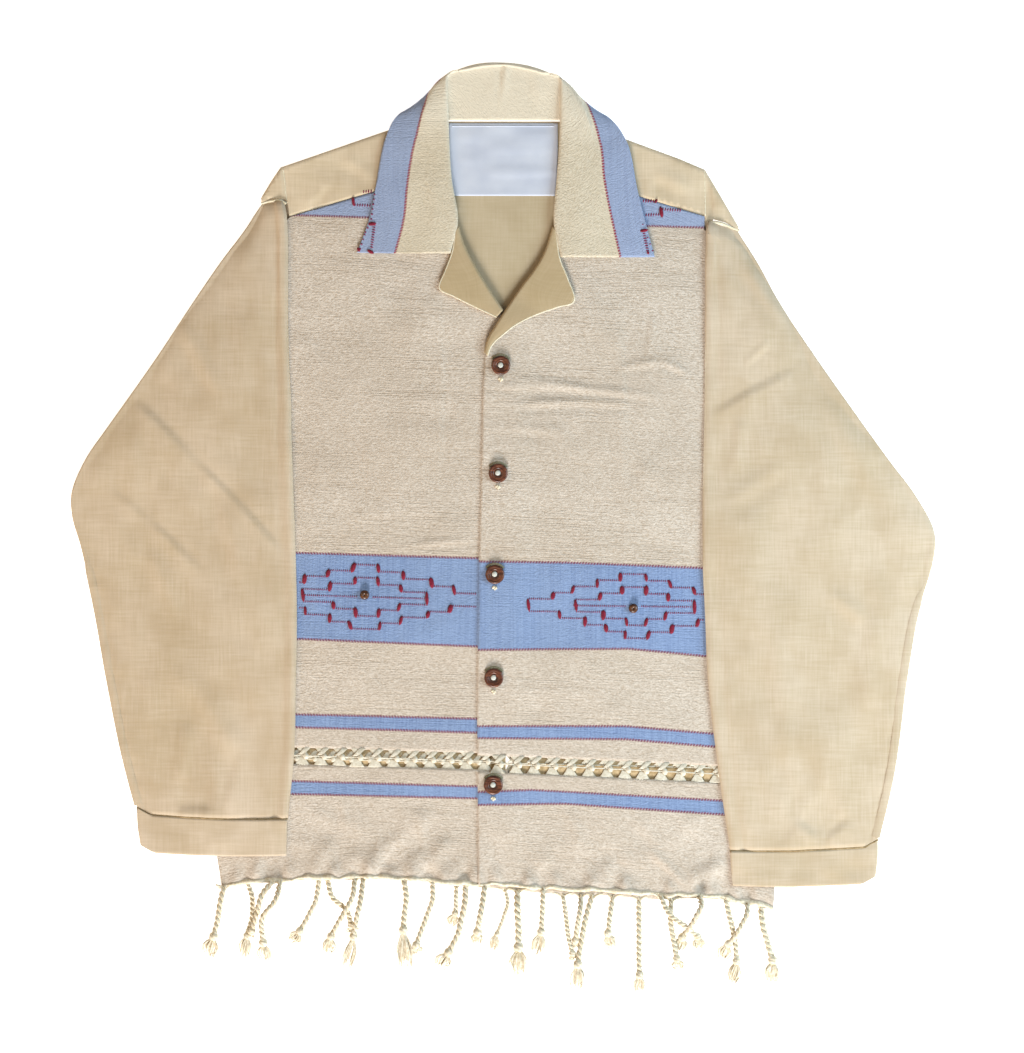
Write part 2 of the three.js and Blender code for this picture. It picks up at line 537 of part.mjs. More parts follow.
function frontPanel(side) {
  const wearer = side < 0 ? 'right' : 'left';
  const lapel = LAPELS[wearer];
  const height = side < 0 ? rightFrontZ : leftFrontZ;
  const seam = YOKE_SEAM[side < 0 ? 'left' : 'right'];
  const rows = panelRows({
    levels: [...PANEL_ROWS, ...NECK_ROWS],
    places: side < 0 ? rightPlaces : leftPlaces,
    topY: { level: 325, at: (x) => read(seam, 'x', x, 'y') - SEAM },
    hemY: frontHem,
    height,
  });
  const flat = clothWall(rows, BLANKET, { upright: true });
  const fold = clothWall(rollSections(lapel, {
    frontZ: height, radius: LAYER_STEP / 2, reach: -0.8, facing: false,
  }), BLANKET - 0.3);
  const panel = joined([flat, fold]);
  const [fromX, toX] = side < 0 ? [-262, 4.5] : [-23.5, 250];
  return withOpenwork(panel, fromX, toX, OPENWORK_LINE[wearer]);
}

function facingStrip(side) {
  const sections = rollSections(LAPELS[side < 0 ? 'right' : 'left'], {
    frontZ: side < 0 ? rightFrontZ : leftFrontZ,
    radius: LAYER_STEP / 2 + BLANKET / 2 + SEAM + FINE / 2,
    reach: 0,
    facing: true,
  });
  return clothWall(sections, FINE);
}

// ---------------------------------------------------------------- yoke
// One side of the yoke: from the flat back part up to the shoulder fold and down to the seam.
function shoulderPart(side) {
  const name = side < 0 ? 'left' : 'right';
  const fold = SHOULDER_FOLD[name];
  const seam = YOKE_SEAM[name];
  const arc = SHOULDER_ARC[name];
  const armholeX = side < 0 ? edgeLeft(304) : edgeRight(290);
  const sleeveX = side < 0 ? -199 : 187;
  const neckX = YOKE_NECK[name];
  const farX = side < 0 ? fold[0].x : fold[3].x;
  const radius = (YOKE_FLAP_Z - YOKE_Z) / 2;
  const middleZ = (YOKE_FLAP_Z + YOKE_Z) / 2;
  const places = [
    farX, (farX + armholeX) / 2, armholeX + side * SEAM, armholeX,
    (armholeX + sleeveX) / 2, sleeveX + side * 1.4, ...spread(sleeveX, neckX, 5),
  ];
  const beyond = (x, limit) => side * (x - limit) > 0;
  const rows = places.map((x) => {
    const foldY = read(fold, 'x', x, 'y') - radius - FINE / 2;
    const arcY = read(arc, 'x', x, 'y') + SEAM;
    const rootY = beyond(x, armholeX) ? arcY : (side < 0 ? 300 : 280);
    const endY = beyond(x, sleeveX) ? arcY : read(seam, 'x', x, 'y');
    const turn = [-90, -30, 30, 90].map((angle) => {
      const a = radians(angle);
      return point(x, foldY + radius * Math.cos(a), middleZ + radius * Math.sin(a));
    });
    return [
      point(x, rootY, YOKE_Z),
      point(x, THREE.MathUtils.lerp(rootY, foldY, 0.6), YOKE_Z),
      ...turn,
      point(x, THREE.MathUtils.lerp(foldY, endY, 0.5), YOKE_FLAP_Z),
      point(x, endY, YOKE_FLAP_Z),
    ];
  });
  return clothWall(rows, FINE);
}

function yokePiece() {
  const strip = (levels, leftX, rightX) => clothWall(levels.map((y) => {
    return [0, 0.5, 1].map((t) => point(THREE.MathUtils.lerp(leftX(y), rightX(y), t), y, YOKE_Z));
  }), FINE);
  const back = strip([YOKE_BACK_SEAM_Y, 211, 246, 270, 281.5], edgeLeft, edgeRight);
  const upper = strip([281, 290, 301], edgeLeft, () => 192);
  const neck = strip([300.5, 340, NECK_LINE_Y], () => YOKE_NECK.left - 1, () => YOKE_NECK.right + 1);
  return joined([back, upper, neck, shoulderPart(-1), shoulderPart(1)]);
}

// ---------------------------------------------------------------- collar
function collarLeaf(rows) {
  const rollRadius = 1.3;
  const lowestZ = COLLAR_WALL / 2 + 0.3;
  const step = 3; // spacing of the points along an open outer edge
  const sections = rows.map((row) => {
    const out = point(row.outX - row.rollX, row.outY - row.rollY, 0);
    const width = out.length();
    out.normalize();
    const on = (u, z) => point(row.rollX + out.x * u, row.rollY + out.y * u, z);
    const roll = [-90, -30, 30, 90].map((angle) => {
      const a = radians(angle);
      return on(rollRadius - rollRadius * Math.cos(a), row.lowZ + rollRadius + rollRadius * Math.sin(a));
    });
    const foldRadius = (row.outZ - lowestZ) / 2;
    const open = 1 - row.wrap;
    const centreU = width - open * step * 4 - row.wrap * foldRadius;
    const edge = [0, 1, 2, 3].map((k) => {
      const a = radians(90 - 180 * row.wrap * (k / 3));
      return on(centreU + foldRadius * Math.cos(a) * row.wrap + open * step * k,
        row.outZ - foldRadius + foldRadius * Math.sin(a));
    });
    const a = radians(90 - 180 * row.wrap);
    const last = edge[3].clone().add(on(row.below * Math.sin(a), 0).sub(on(0, row.below * Math.cos(a))));
    last.z = Math.max(last.z, lowestZ);
    const topZ = row.lowZ + 2 * rollRadius;
    const middle = on((rollRadius + centreU) / 2, (topZ + row.outZ) / 2 + 0.3);
    return [on(rollRadius + row.lip, row.lowZ), ...roll, middle, ...edge, last];
  });
  return clothWall(smoothRows(sections, 2), COLLAR_WALL);
}

function collarBack() {
  const foldRadius = 1.9;
  const lowZ = COLLAR_WALL / 2;
  const sections = COLLAR_TOP.map(({ x, y }) => {
    const centreY = y - COLLAR_WALL / 2 - foldRadius;
    const fold = [90, 30, -30, -90].map((angle) => {
      const a = radians(angle);
      return point(x, centreY + foldRadius * Math.cos(a), lowZ + foldRadius + foldRadius * Math.sin(a));
    });
    const topZ = lowZ + 2 * foldRadius;
    return [
      point(x, COLLAR_SEAM_Y, 1.9),
      point(x, THREE.MathUtils.lerp(COLLAR_SEAM_Y, centreY, 0.45), topZ - 0.7),
      point(x, THREE.MathUtils.lerp(COLLAR_SEAM_Y, centreY, 0.8), topZ),
      ...fold,
      point(x, Math.min(COLLAR_HEM_Y, centreY - 4), lowZ),
    ];
  });
  return clothWall(sections, COLLAR_WALL);
}

// ---------------------------------------------------------------- sleeves and cuffs
// A place on the straight line of a section, by x.
function onSection(row, x, z) {
  const t = (x - row.outX) / (row.inX - row.outX);
  return point(x, THREE.MathUtils.lerp(row.outY, row.inY, t), z);
}

// Where a section crosses the body's edge, found in a few steps.
function bodyEdgeX(row, side) {
  const edge = side < 0 ? edgeLeft : edgeRight;
  let x = edge(row.inY);
  for (let i = 0; i < 4; i += 1) x = edge(onSection(row, x, 0).y);
  return side * Math.max(side * x, side * row.inX + 5);
}

const HAIRPIN = 3; // length of cloth in each folded edge of a sleeve
const RAMP = 14; // over this the sleeve comes down from the front to the surface
const UNDERARM_SEAM = 22; // its place outside the body's edge

function sleeveTube(side) {
  const topZ = 2.5;
  const layer = 1.7; // from the part on the front to the part above it
  const rows = SLEEVES[side < 0 ? 'right' : 'left'].map((row) => {
    const edgeX = bodyEdgeX(row, side);
    const at = (x, z) => onSection(row, x, z);
    const reach = Math.abs(row.outX - edgeX);
    const slope = Math.min(RAMP, reach * 0.4);
    const seamX = edgeX + side * UNDERARM_SEAM;
    const backEnd = row.open ? edgeX + side * SEAM * 2 : seamX + (side * SEAM) / 2;
    const frontEnd = row.open ? edgeX : seamX - (side * SEAM) / 2;
    const highZ = row.lift + layer;
    const shoulderX = edgeX + side * slope * 1.2;
    const onFront = row.open
      ? [at(edgeX - side * 1.6, row.lift), at(edgeX - side * 0.8, row.lift), at(frontEnd, row.lift)]
      : [at(edgeX + side * 2.5, row.lift), at(edgeX + side * RAMP, SLEEVE_FLOOR_Z), at(frontEnd, SLEEVE_FLOOR_Z)];
    return [
      at(backEnd, SLEEVE_FLOOR_Z),
      at((backEnd + row.outX) / 2, SLEEVE_FLOOR_Z),
      at(row.outX - side * HAIRPIN, SLEEVE_FLOOR_Z),
      at(row.outX - (side * SLEEVE_WALL) / 2, (SLEEVE_FLOOR_Z + topZ) / 2),
      at(row.outX - side * HAIRPIN, topZ),
      at(THREE.MathUtils.lerp(row.outX, shoulderX, 0.5), Math.min(topZ + 1.1, highZ - 0.3)),
      at(shoulderX, highZ - 0.6),
      at(edgeX, highZ),
      at((edgeX + row.inX) / 2, highZ + 0.2),
      at(row.inX + side * HAIRPIN, highZ),
      at(row.inX + (side * SLEEVE_WALL) / 2, row.lift + layer / 2),
      at(row.inX + side * HAIRPIN, row.lift),
      ...onFront,
    ];
  });
  return clothWall(rows, SLEEVE_WALL);
}

function cuffBand(side) {
  const floorZ = CUFF_WALL / 2;
  const liftZ = FRONT_Z + BLANKET / 2 + SEAM + CUFF_WALL / 2;
  const layer = 2.2;
  const rows = CUFFS[side < 0 ? 'right' : 'left'].map((row) => {
    const edgeX = bodyEdgeX(row, side);
    const at = (x, z) => onSection(row, x, z);
    const outFold = row.outX - (side * CUFF_WALL) / 2;
    const inFold = row.inX + (side * CUFF_WALL) / 2;
    return [
      at(outFold, floorZ + layer / 2),
      at(row.outX - side * HAIRPIN, floorZ),
      at(edgeX + side * RAMP, floorZ),
      at(edgeX + side * 2.5, liftZ),
      at(row.inX + side * HAIRPIN, liftZ),
      at(inFold, liftZ + layer / 2),
      at(row.inX + side * HAIRPIN, liftZ + layer),
      at(edgeX, liftZ + layer),
      at(edgeX + side * RAMP * 1.3, liftZ + layer - 0.9),
      at((row.outX + edgeX) / 2 + side * RAMP * 0.6, floorZ + layer + 1),
      at(row.outX - side * HAIRPIN, floorZ + layer),
    ];
  });
  return clothWall(rows, CUFF_WALL, { ring: true });
}

// ---------------------------------------------------------------- small pieces
function labelPiece() {
  const middleZ = FINE + SEAM + FINE / 2;
  const rows = [
    { y: 310.5, left: -47.8, right: 46 },
    { y: 322, left: -47.8, right: 46.8 },
    { y: 334, left: -47.8, right: 47.5 },
    { y: 346, left: -47.8, right: 48 },
    { y: 375.6, left: -47.8, right: 48 },
  ];
  return clothWall(rows.map((row, i) => {
    const swell = i % 2 === 1 ? 0.5 : 0;
    return [0, 1 / 3, 2 / 3, 1].map((t) => point(THREE.MathUtils.lerp(row.left, row.right, t), row.y, middleZ + swell));
  }), FINE, { upright: true });
}

function buttonPiece() {
  const profile = [
    { r: 0, z: 0 },
    { r: 6.6, z: 0 },
    { r: BUTTON_RADIUS, z: 1.5 },
    { r: 8.3, z: 3.3 },
    { r: 6.9, z: 3.8 },
    { r: 5.0, z: 3.1 },
    { r: 3.3, z: 1.9 },
    { r: 0, z: 1.7 },
  ];
  return new THREE.LatheGeometry(profile.map(({ r, z }) => new THREE.Vector2(r, z)), 14).rotateX(Math.PI / 2);
}

function beadPiece() {
  const profile = [
    { r: 0, z: 0 },
    { r: 2.8, z: 0 },
    { r: BEAD_RADIUS, z: 1.7 },
    { r: 3.6, z: 3.7 },
    { r: 1.6, z: 4.4 },
    { r: 0, z: 3.6 },
  ];
  return new THREE.LatheGeometry(profile.map(({ r, z }) => new THREE.Vector2(r, z)), 10).rotateX(Math.PI / 2);
}

// ---------------------------------------------------------------- fringe
// A four-sided cord through points with their own radii.
function cordSolid(stations) {
  const rings = stations.map(({ at, radius }, i) => {
    const before = stations[Math.max(i - 1, 0)].at;
    const after = stations[Math.min(i + 1, stations.length - 1)].at;
    const run = after.clone().sub(before).setZ(0).normalize();
    const sideways = point(-run.y, run.x, 0);
    return [
      at.clone().addScaledVector(sideways, radius),
      at.clone().add(point(0, 0, radius)),
      at.clone().addScaledVector(sideways, -radius),
      at.clone().add(point(0, 0, -radius)),
    ];
  });
  const index = [];
  for (let i = 0; i < rings.length - 1; i += 1) {
    for (let j = 0; j < 4; j += 1) {
      const a = i * 4 + j;
      const b = i * 4 + ((j + 1) % 4);
      index.push(a, b, b + 4, a, b + 4, a + 4);
    }
  }
  const end = (rings.length - 1) * 4;
  index.push(0, 3, 2, 0, 2, 1, end, end + 1, end + 2, end, end + 2, end + 3);
  const geometry = new THREE.BufferGeometry();
  geometry.setAttribute('position', new THREE.Float32BufferAttribute(rings.flat().flatMap((p) => p.toArray()), 3));
  geometry.setIndex(index);
  const solid = toSolid(geometry);
  return solid.volume() > 0 ? geometry : flipped(geometry);
}

function flipped(geometry) {
  const index = [...geometry.index.array];
  for (let i = 0; i < index.length; i += 3) [index[i], index[i + 1]] = [index[i + 1], index[i]];
  geometry.setIndex(index);
  return geometry;
}

function tassel(row, hemY, rootZ) {
  const radius = row.thick / 2;
  const lowZ = CORD_CLEAR + radius * 1.5;
  const middle = point((row.ax + row.bx) / 2, (row.ay + row.by) / 2, lowZ + row.over);
  const start = point(row.x, hemY - SEAM - STRIP_WIDTH / 2, rootZ);
  const knot = point(row.kx, row.ky, lowZ);
  const tip = point(row.tx, row.ty, lowZ - radius * 0.4);
  const toKnot = knot.clone().sub(point(row.bx, row.by, lowZ)).setZ(0).normalize();
  return cordSolid([
    { at: start, radius: STRIP_HEIGHT * 0.7 },
    { at: point(row.ax, row.ay, lowZ + row.over * 0.8), radius },
    { at: middle, radius },
    { at: point(row.bx, row.by, lowZ + row.over * 0.8), radius },
    { at: knot.clone().addScaledVector(toKnot, -radius * 1.3), radius: radius * 0.9 },
    { at: knot, radius: radius * 1.45 },
    { at: knot.clone().addScaledVector(toKnot, radius * 1.2), radius: radius * 0.85 },
    { at: knot.clone().lerp(tip, 0.6).setZ(lowZ), radius: radius * 1.5 },
    { at: tip, radius: radius * 0.7 },
  ]);
}

// The strip parted from the cloth's edge, with its cords fused to it.
function fringePiece(rows, places, panelHem, height) {
  const corners = places.map((x) => ({ x, y: panelHem(x) }));
  const hemY = (x) => read(corners, 'x', x, 'y');
  const ends = [places[0] + STRIP_END, ...places.slice(1, -1), places[places.length - 1] - STRIP_END];
  const edge = (offset) => ends.map((x) => point(x, hemY(x) - offset, height(x)));
  const strip = clothWall([edge(SEAM), edge(SEAM + STRIP_WIDTH)], STRIP_HEIGHT, { upright: true });
  return joined([strip, ...rows.map((row) => tassel(row, hemY(row.x), height(row.x)))]);
}

// ---------------------------------------------------------------- the shirt
const COLOURS = {
  blanket: { color: 0xded3bd, roughness: 0.95 },
  fine: { color: 0xddcba6, roughness: 0.85 },
  label: { color: 0xdfe1ea, roughness: 0.45 },
  wood: { color: 0x5c2b1a, roughness: 0.35 },
  cord: { color: 0xece5d2, roughness: 0.95 },
};

const shirt = new THREE.Group();

function add(name, geometry, finish) {
  const material = new THREE.MeshStandardMaterial({ ...COLOURS[finish], metalness: 0 });
  const mesh = new THREE.Mesh(geometry, material);
  mesh.name = name;
  shirt.add(mesh);
  return mesh;
}

const leftStripZ = (x) => FRONT_Z + LAYER_STEP * (1 - ramp(x, OVERLAP_END, DROP_END));
const BACK_STRIP_Z = CORD_CLEAR + STRIP_HEIGHT / 2;

add('back', backPanel(), 'blanket');
add('yoke', yokePiece(), 'fine');
add('front_right', frontPanel(-1), 'blanket');
add('front_left', frontPanel(1), 'blanket');
add('facing_right', facingStrip(-1), 'fine');
add('facing_left', facingStrip(1), 'fine');
add('collar', joined([collarBack(), collarLeaf(COLLAR_LEAVES.left), collarLeaf(COLLAR_LEAVES.right)]), 'blanket');
add('label', labelPiece(), 'label');
add('sleeve_right', sleeveTube(-1), 'fine');
add('sleeve_left', sleeveTube(1), 'fine');
add('cuff_right', cuffBand(-1), 'fine');
add('cuff_left', cuffBand(1), 'fine');
BUTTONS.forEach(({ x, y }, i) => {
  const button = add(`button_${i + 1}`, buttonPiece(), 'wood');
  button.position.set(x, y, leftFrontZ(x, y) + BLANKET / 2 + SEAM);
});
add('bead_right', beadPiece(), 'wood').position.set(BEADS.right.x, BEADS.right.y, FRONT_Z + BLANKET / 2 + SEAM);
add('bead_left', beadPiece(), 'wood').position.set(BEADS.left.x, BEADS.left.y, FRONT_Z + BLANKET / 2 + SEAM);
add('fringe_front_right', fringePiece(FRINGE.front_right, rightPlaces(HEM_LEVEL), frontHem, () => FRONT_Z), 'cord');
add('fringe_front_left', fringePiece(FRINGE.front_left, leftPlaces(HEM_LEVEL), frontHem, leftStripZ), 'cord');
add('fringe_back', fringePiece(FRINGE.back, backPlaces(HEM_LEVEL), backHem, () => BACK_STRIP_Z), 'cord');

// The origin is at the middle of the underside.
const box = new THREE.Box3().setFromObject(shirt);
const middle = box.getCenter(new THREE.Vector3());
shirt.position.set(-middle.x, -middle.y, -box.min.z);

export default shirt;
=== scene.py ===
# %% [markdown]
# # A blanket shirt, laid flat
# The shirt is sewn from two cloths. The back, the fronts and the collar are cut from a striped
# cotton blanket with a row of openwork and a corded fringe. The yoke, sleeves, cuffs and the
# turned-out facings are a finer plain cotton. The solids of the frame hold every piece in place;
# here each piece gets its fine surface, its creases, its thread work and its finish.

# %% The frame
import math

import bmesh
import bpy
import numpy as np
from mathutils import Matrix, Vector
from mathutils.bvhtree import BVHTree


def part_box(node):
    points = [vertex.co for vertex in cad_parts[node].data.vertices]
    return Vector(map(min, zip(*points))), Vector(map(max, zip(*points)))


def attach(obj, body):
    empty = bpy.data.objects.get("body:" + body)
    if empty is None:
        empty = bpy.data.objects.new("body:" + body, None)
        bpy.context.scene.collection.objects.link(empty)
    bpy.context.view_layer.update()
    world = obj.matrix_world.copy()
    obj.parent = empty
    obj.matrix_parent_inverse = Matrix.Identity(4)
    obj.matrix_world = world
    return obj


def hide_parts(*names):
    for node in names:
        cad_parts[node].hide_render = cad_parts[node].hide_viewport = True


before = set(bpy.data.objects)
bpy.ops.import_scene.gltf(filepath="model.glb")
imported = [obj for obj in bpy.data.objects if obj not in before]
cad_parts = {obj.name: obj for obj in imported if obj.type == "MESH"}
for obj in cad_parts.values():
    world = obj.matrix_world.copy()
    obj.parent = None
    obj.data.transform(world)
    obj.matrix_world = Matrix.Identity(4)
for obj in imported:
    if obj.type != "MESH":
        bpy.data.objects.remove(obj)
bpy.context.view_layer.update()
MM = 0.001
UP = np.array([0, 0, 1.0])
ON_TABLE = 0.05  # millimetres; the least height of a thread or a cloth's underside
LABEL_CORNER = (-47.8, 310.5)  # in the shirt's own measure, whose x = 0 is the centre front
SHIFT = np.array([
    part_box("label")[0].x / MM - LABEL_CORNER[0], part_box("label")[0].y / MM - LABEL_CORNER[1], 0.0])
print("the shirt's own measure moves by", SHIFT.round(2), "mm")

# %% [markdown]
# ## Working with cloth on a grid
# Every piece of cloth is first a grid of points in the middle of its wall: a few sections from a
# table, rounded at their folds, with more sections put between them on smooth curves. The grid
# then gets its thickness, a rounded rim and a map in real metres, so that a weave follows it.

# %% Curves, ramps and soft noise


def ramp(x, low, high):
    """0 before low, 1 after high, smooth between."""
    t = np.clip((np.asarray(x, float) - low) / (high - low), 0, 1)
    return t * t * (3 - 2 * t)


def curve(points):
    """A function that gives y at x on straight lines between (x, y) points."""
    xs, ys = np.array(sorted(points), float).T
    return lambda x: np.interp(x, xs, ys)


def soft_noise(x, y, size, seed):
    """Smooth random hills from -1 to 1, about size millimetres apart."""
    hills = np.random.default_rng(seed).uniform(-1, 1, (64, 64))
    u, v = np.asarray(x, float) / size + 31.0, np.asarray(y, float) / size + 31.0
    i, j = np.floor(u).astype(int), np.floor(v).astype(int)
    s, t = ramp(u - i, 0, 1), ramp(v - j, 0, 1)
    near = hills[i % 64, j % 64] * (1 - s) + hills[(i + 1) % 64, j % 64] * s
    far = hills[i % 64, (j + 1) % 64] * (1 - s) + hills[(i + 1) % 64, (j + 1) % 64] * s
    return near * (1 - t) + far * t


def smooth_down(rows, spacing):
    """More rows on smooth curves through the given ones."""
    step = np.linalg.norm(np.diff(rows, axis=0), axis=2).mean(axis=1)
    at = np.concatenate([[0], np.cumsum(step)])
    slope = np.gradient(rows, at, axis=0)
    fine = np.linspace(0, at[-1], max(2, int(round(at[-1] / spacing))) + 1)
    i = np.clip(np.searchsorted(at, fine, side="right") - 1, 0, len(at) - 2)
    h = (at[i + 1] - at[i])[:, None, None]
    t = (fine - at[i])[:, None, None] / h
    return ((2 * t**3 - 3 * t**2 + 1) * rows[i] + (t**3 - 2 * t**2 + t) * h * slope[i]
            + (3 * t**2 - 2 * t**3) * rows[i + 1] + (t**3 - t**2) * h * slope[i + 1])


def round_across(rows, spacing, ring=False):
    """Each row's polygon made a smooth curve that passes through the middle of each side."""
    if ring:
        rows = np.concatenate([rows[:, -1:], rows, rows[:, :1]], axis=1)
    middles = (rows[:, 1:] + rows[:, :-1]) / 2
    parts = [] if ring else [rows[:, :1]]
    if not ring:
        length = np.linalg.norm(middles[:, 0] - rows[:, 0], axis=1).max()
        t = np.linspace(0, 1, max(2, int(length / spacing)) + 1)[None, 1:-1, None]
        parts.append(rows[:, :1] * (1 - t) + middles[:, :1] * t)
    for k in range(1, rows.shape[1] - 1):
        a, b, c = middles[:, k - 1:k], rows[:, k:k + 1], middles[:, k:k + 1]
        length = (np.linalg.norm(b - a, axis=2) + np.linalg.norm(c - b, axis=2)).max()
        t = np.linspace(0, 1, max(3, int(length / spacing)) + 1)[None, :-1, None]
        parts.append(a * (1 - t)**2 + 2 * b * t * (1 - t) + c * t**2)
    if not ring:
        length = np.linalg.norm(rows[:, -1] - middles[:, -1], axis=1).max()
        t = np.linspace(0, 1, max(2, int(length / spacing)) + 1)[None, :, None]
        parts.append(middles[:, -1:] * (1 - t) + rows[:, -1:] * t)
    return np.concatenate(parts, axis=1)


print("curves and noise are ready")

# %% A wall of cloth from a grid


def unit(vectors):
    return vectors / np.maximum(np.linalg.norm(vectors, axis=-1, keepdims=True), 1e-9)


def grid_normals(grid, ring):
    across = (np.roll(grid, -1, axis=1) - np.roll(grid, 1, axis=1)) if ring else np.gradient(grid, axis=1)
    return unit(np.cross(across, np.gradient(grid, axis=0)))


def run_along(points):
    """Distance along rows of points, from the first."""
    steps = np.linalg.norm(np.diff(points, axis=-2), axis=-1)
    return np.concatenate([0 * steps[..., :1], np.cumsum(steps, axis=-1)], axis=-1)


def cloth_shell(grid, wall, ring=False, along=None):
    """Corners, faces and maps of one closed wall around the grid, with a rounded rim."""
    down, across = grid.shape[:2]
    normal = grid_normals(grid, ring)
    middle = grid.copy()
    inset = 0.3 * wall
    top, bottom = unit(grid[0] - grid[1]), unit(grid[-1] - grid[-2])
    middle[0], middle[-1] = grid[0] - top * inset, grid[-1] - bottom * inset
    if not ring:
        left, right = unit(grid[:, 0] - grid[:, 1]), unit(grid[:, -1] - grid[:, -2])
        middle[:, 0] -= left * inset
        middle[:, -1] -= right * inset
    points = np.concatenate([(middle + normal * wall / 2).reshape(-1, 3),
                             (middle - normal * wall / 2).reshape(-1, 3), grid.reshape(-1, 3)])
    inner, rim = down * across, 2 * down * across
    at = np.arange(down * across).reshape(down, across)
    faces = []
    left_at, right_at = (at, np.roll(at, -1, axis=1)) if ring else (at[:, :-1], at[:, 1:])
    a, b, c, d = left_at[:-1], right_at[:-1], right_at[1:], left_at[1:]
    faces.append(np.stack([a, b, c, d], -1).reshape(-1, 4))
    faces.append(np.stack([a, d, c, b], -1).reshape(-1, 4) + inner)

    def band(one, two):
        faces.append(np.stack([two, one, one + rim, two + rim], -1).reshape(-1, 4))
        faces.append(np.stack([two + rim, one + rim, one + inner, two + inner], -1).reshape(-1, 4))

    band(left_at[0], right_at[0])
    band(right_at[-1], left_at[-1])
    if not ring:
        band(at[1:, 0], at[:-1, 0])
        band(at[:-1, -1], at[1:, -1])
    width, length = run_along(grid), run_along(grid.swapaxes(0, 1)).T
    cloth_map = np.stack([width, length], -1).reshape(-1, 2)
    pattern = cloth_map if along is None else along.reshape(-1, 2)
    return points, np.concatenate(faces), np.tile(cloth_map, (3, 1)), np.tile(pattern, (3, 1))


def in_scene(name, data):
    """A new object at the origin of the scene."""
    obj = bpy.data.objects.new(name, data)
    bpy.context.scene.collection.objects.link(obj)
    return obj


def turn_outward(mesh):
    """Flips the faces of a closed mesh that is inside out."""
    copy = bmesh.new()
    copy.from_mesh(mesh)
    if copy.calc_volume(signed=True) < 0:
        mesh.flip_normals()
    copy.free()


def make_object(name, points, faces, maps=None, smooth_angle=60):
    """A mesh object in metres at the origin, from corners in the shirt's own millimetres."""
    mesh = bpy.data.meshes.new(name)
    mesh.from_pydata(((points + SHIFT) * MM).tolist(), [], [list(map(int, f)) for f in faces])
    for map_name, values in (maps or {}).items():
        layer = mesh.uv_layers.new(name=map_name)
        corner = np.zeros(len(mesh.loops), np.int32)
        mesh.loops.foreach_get("vertex_index", corner)
        layer.data.foreach_set("uv", (values[corner] * MM).astype(np.float32).ravel())
    mesh.validate()
    mesh.update()
    turn_outward(mesh)
    mesh.shade_smooth()
    mesh.set_sharp_from_angle(angle=math.radians(smooth_angle))
    return in_scene(name, mesh)


def join_shells(name, shells):
    """One object from several closed shells."""
    points, faces, cloth_maps, patterns = zip(*shells)
    starts = np.cumsum([0] + [len(part) for part in points[:-1]])
    faces = np.concatenate([part + start for part, start in zip(faces, starts)])
    maps = {"Cloth": np.concatenate(cloth_maps), "Pattern": np.concatenate(patterns)}
    return make_object(name, np.concatenate(points), faces, maps)


def cut_of(*grids):
    """Greatest width and length and the area of the cloth in these grids, in metres."""
    area, widest, longest = 0.0, 0.0, 0.0
    for grid in grids:
        width = np.linalg.norm(np.diff(grid, axis=1), axis=2)
        length = np.linalg.norm(np.diff(grid, axis=0), axis=2)
        area += (width[1:] * length[:, 1:]).sum()
        widest = max(widest, width.sum(axis=1).max())
        longest += length.sum(axis=0).max()
    return widest * MM, longest * MM, area * MM * MM


def dress(obj, material, slot, node=None):
    """Finish and body of a piece, and the solid that it replaces; slot is not used."""
    obj.data.materials.append(material)
    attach(obj, "root")
    if node:
        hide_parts(node)
    return obj


def finish_cloth(obj, material, node, slot, cut):
    """Dresses one piece of cloth and states its cut."""
    width, length, area = cut
    dress(obj, material, slot, node)
    min(area, width * length)
    print(obj.name, "is cut", round(width, 3), "by", round(length, 3), "m, area", round(area, 4))


print("cloth helpers are ready")

# %% [markdown]
# ## Finishes
# Handwoven blanket cotton has thick, uneven weft threads, so its face is streaked across the
# cloth, with painted shade in the hollows between threads, and flecked with bits of seed. The
# plain cotton is even, with a faint thread in both directions and soft patches of painted shade.
# Both scatter light softly, with a slight sheen of loose fibre and no gloss.

# %% Node helpers


def linear(hex_colour):
    """An sRGB hex colour as the linear RGBA that shaders take."""
    parts = [int(hex_colour[i:i + 2], 16) / 255 for i in (1, 3, 5)]
    return [p / 12.92 if p <= 0.04045 else ((p + 0.055) / 1.055)**2.4 for p in parts] + [1.0]


def feed(tree, node, inputs):
    """Fills inputs, by name or by place: a node or socket is linked, and any other value is set."""
    in_use = [socket for socket in node.inputs if socket.enabled]
    for key, value in inputs.items():
        socket = node.inputs[key] if isinstance(key, str) else in_use[key]
        if isinstance(value, bpy.types.Node):
            value = next(output for output in value.outputs if output.enabled)
        if isinstance(value, bpy.types.NodeSocket):
            tree.links.new(value, socket)
        else:
            socket.default_value = value


def add(tree, kind, *inputs, named=None, **settings):
    """Adds a node with its settings. Its inputs come in their order, and more of them by name."""
    node = tree.nodes.new(kind)
    for key, value in settings.items():
        setattr(node, key, value)
    feed(tree, node, dict(enumerate(inputs)) | (named or {}))
    return node


MATH, MIX, RANGE, SPLIT = "ShaderNodeMath", "ShaderNodeMix", "ShaderNodeMapRange", "ShaderNodeSeparateXYZ"
FIBRE_SHEEN_SPREAD, CLOTH_GLOSS, WOOD_GLOSS = 0.5, 0.25, 0.5


def new_material(name, roughness, sheen=0.0, gloss=CLOTH_GLOSS):
    material = bpy.data.materials.new(name)
    material.use_nodes = True
    tree = material.node_tree
    shader = tree.nodes["Principled BSDF"]
    feed(tree, shader, {"Roughness": roughness, "Sheen Weight": sheen,
                        "Sheen Roughness": FIBRE_SHEEN_SPREAD, "Specular IOR Level": gloss})
    return material, tree, shader


def show(tree, shader, colour, height=None, strength=0.0, deep_mm=0.0):
    """Gives a shader its colour and, where there is a height, its fine relief."""
    feed(tree, shader, {"Base Color": colour})
    if height is not None:
        relief = {"Height": height, "Strength": strength, "Distance": deep_mm * MM}
        feed(tree, shader, {"Normal": add(tree, "ShaderNodeBump", named=relief)})


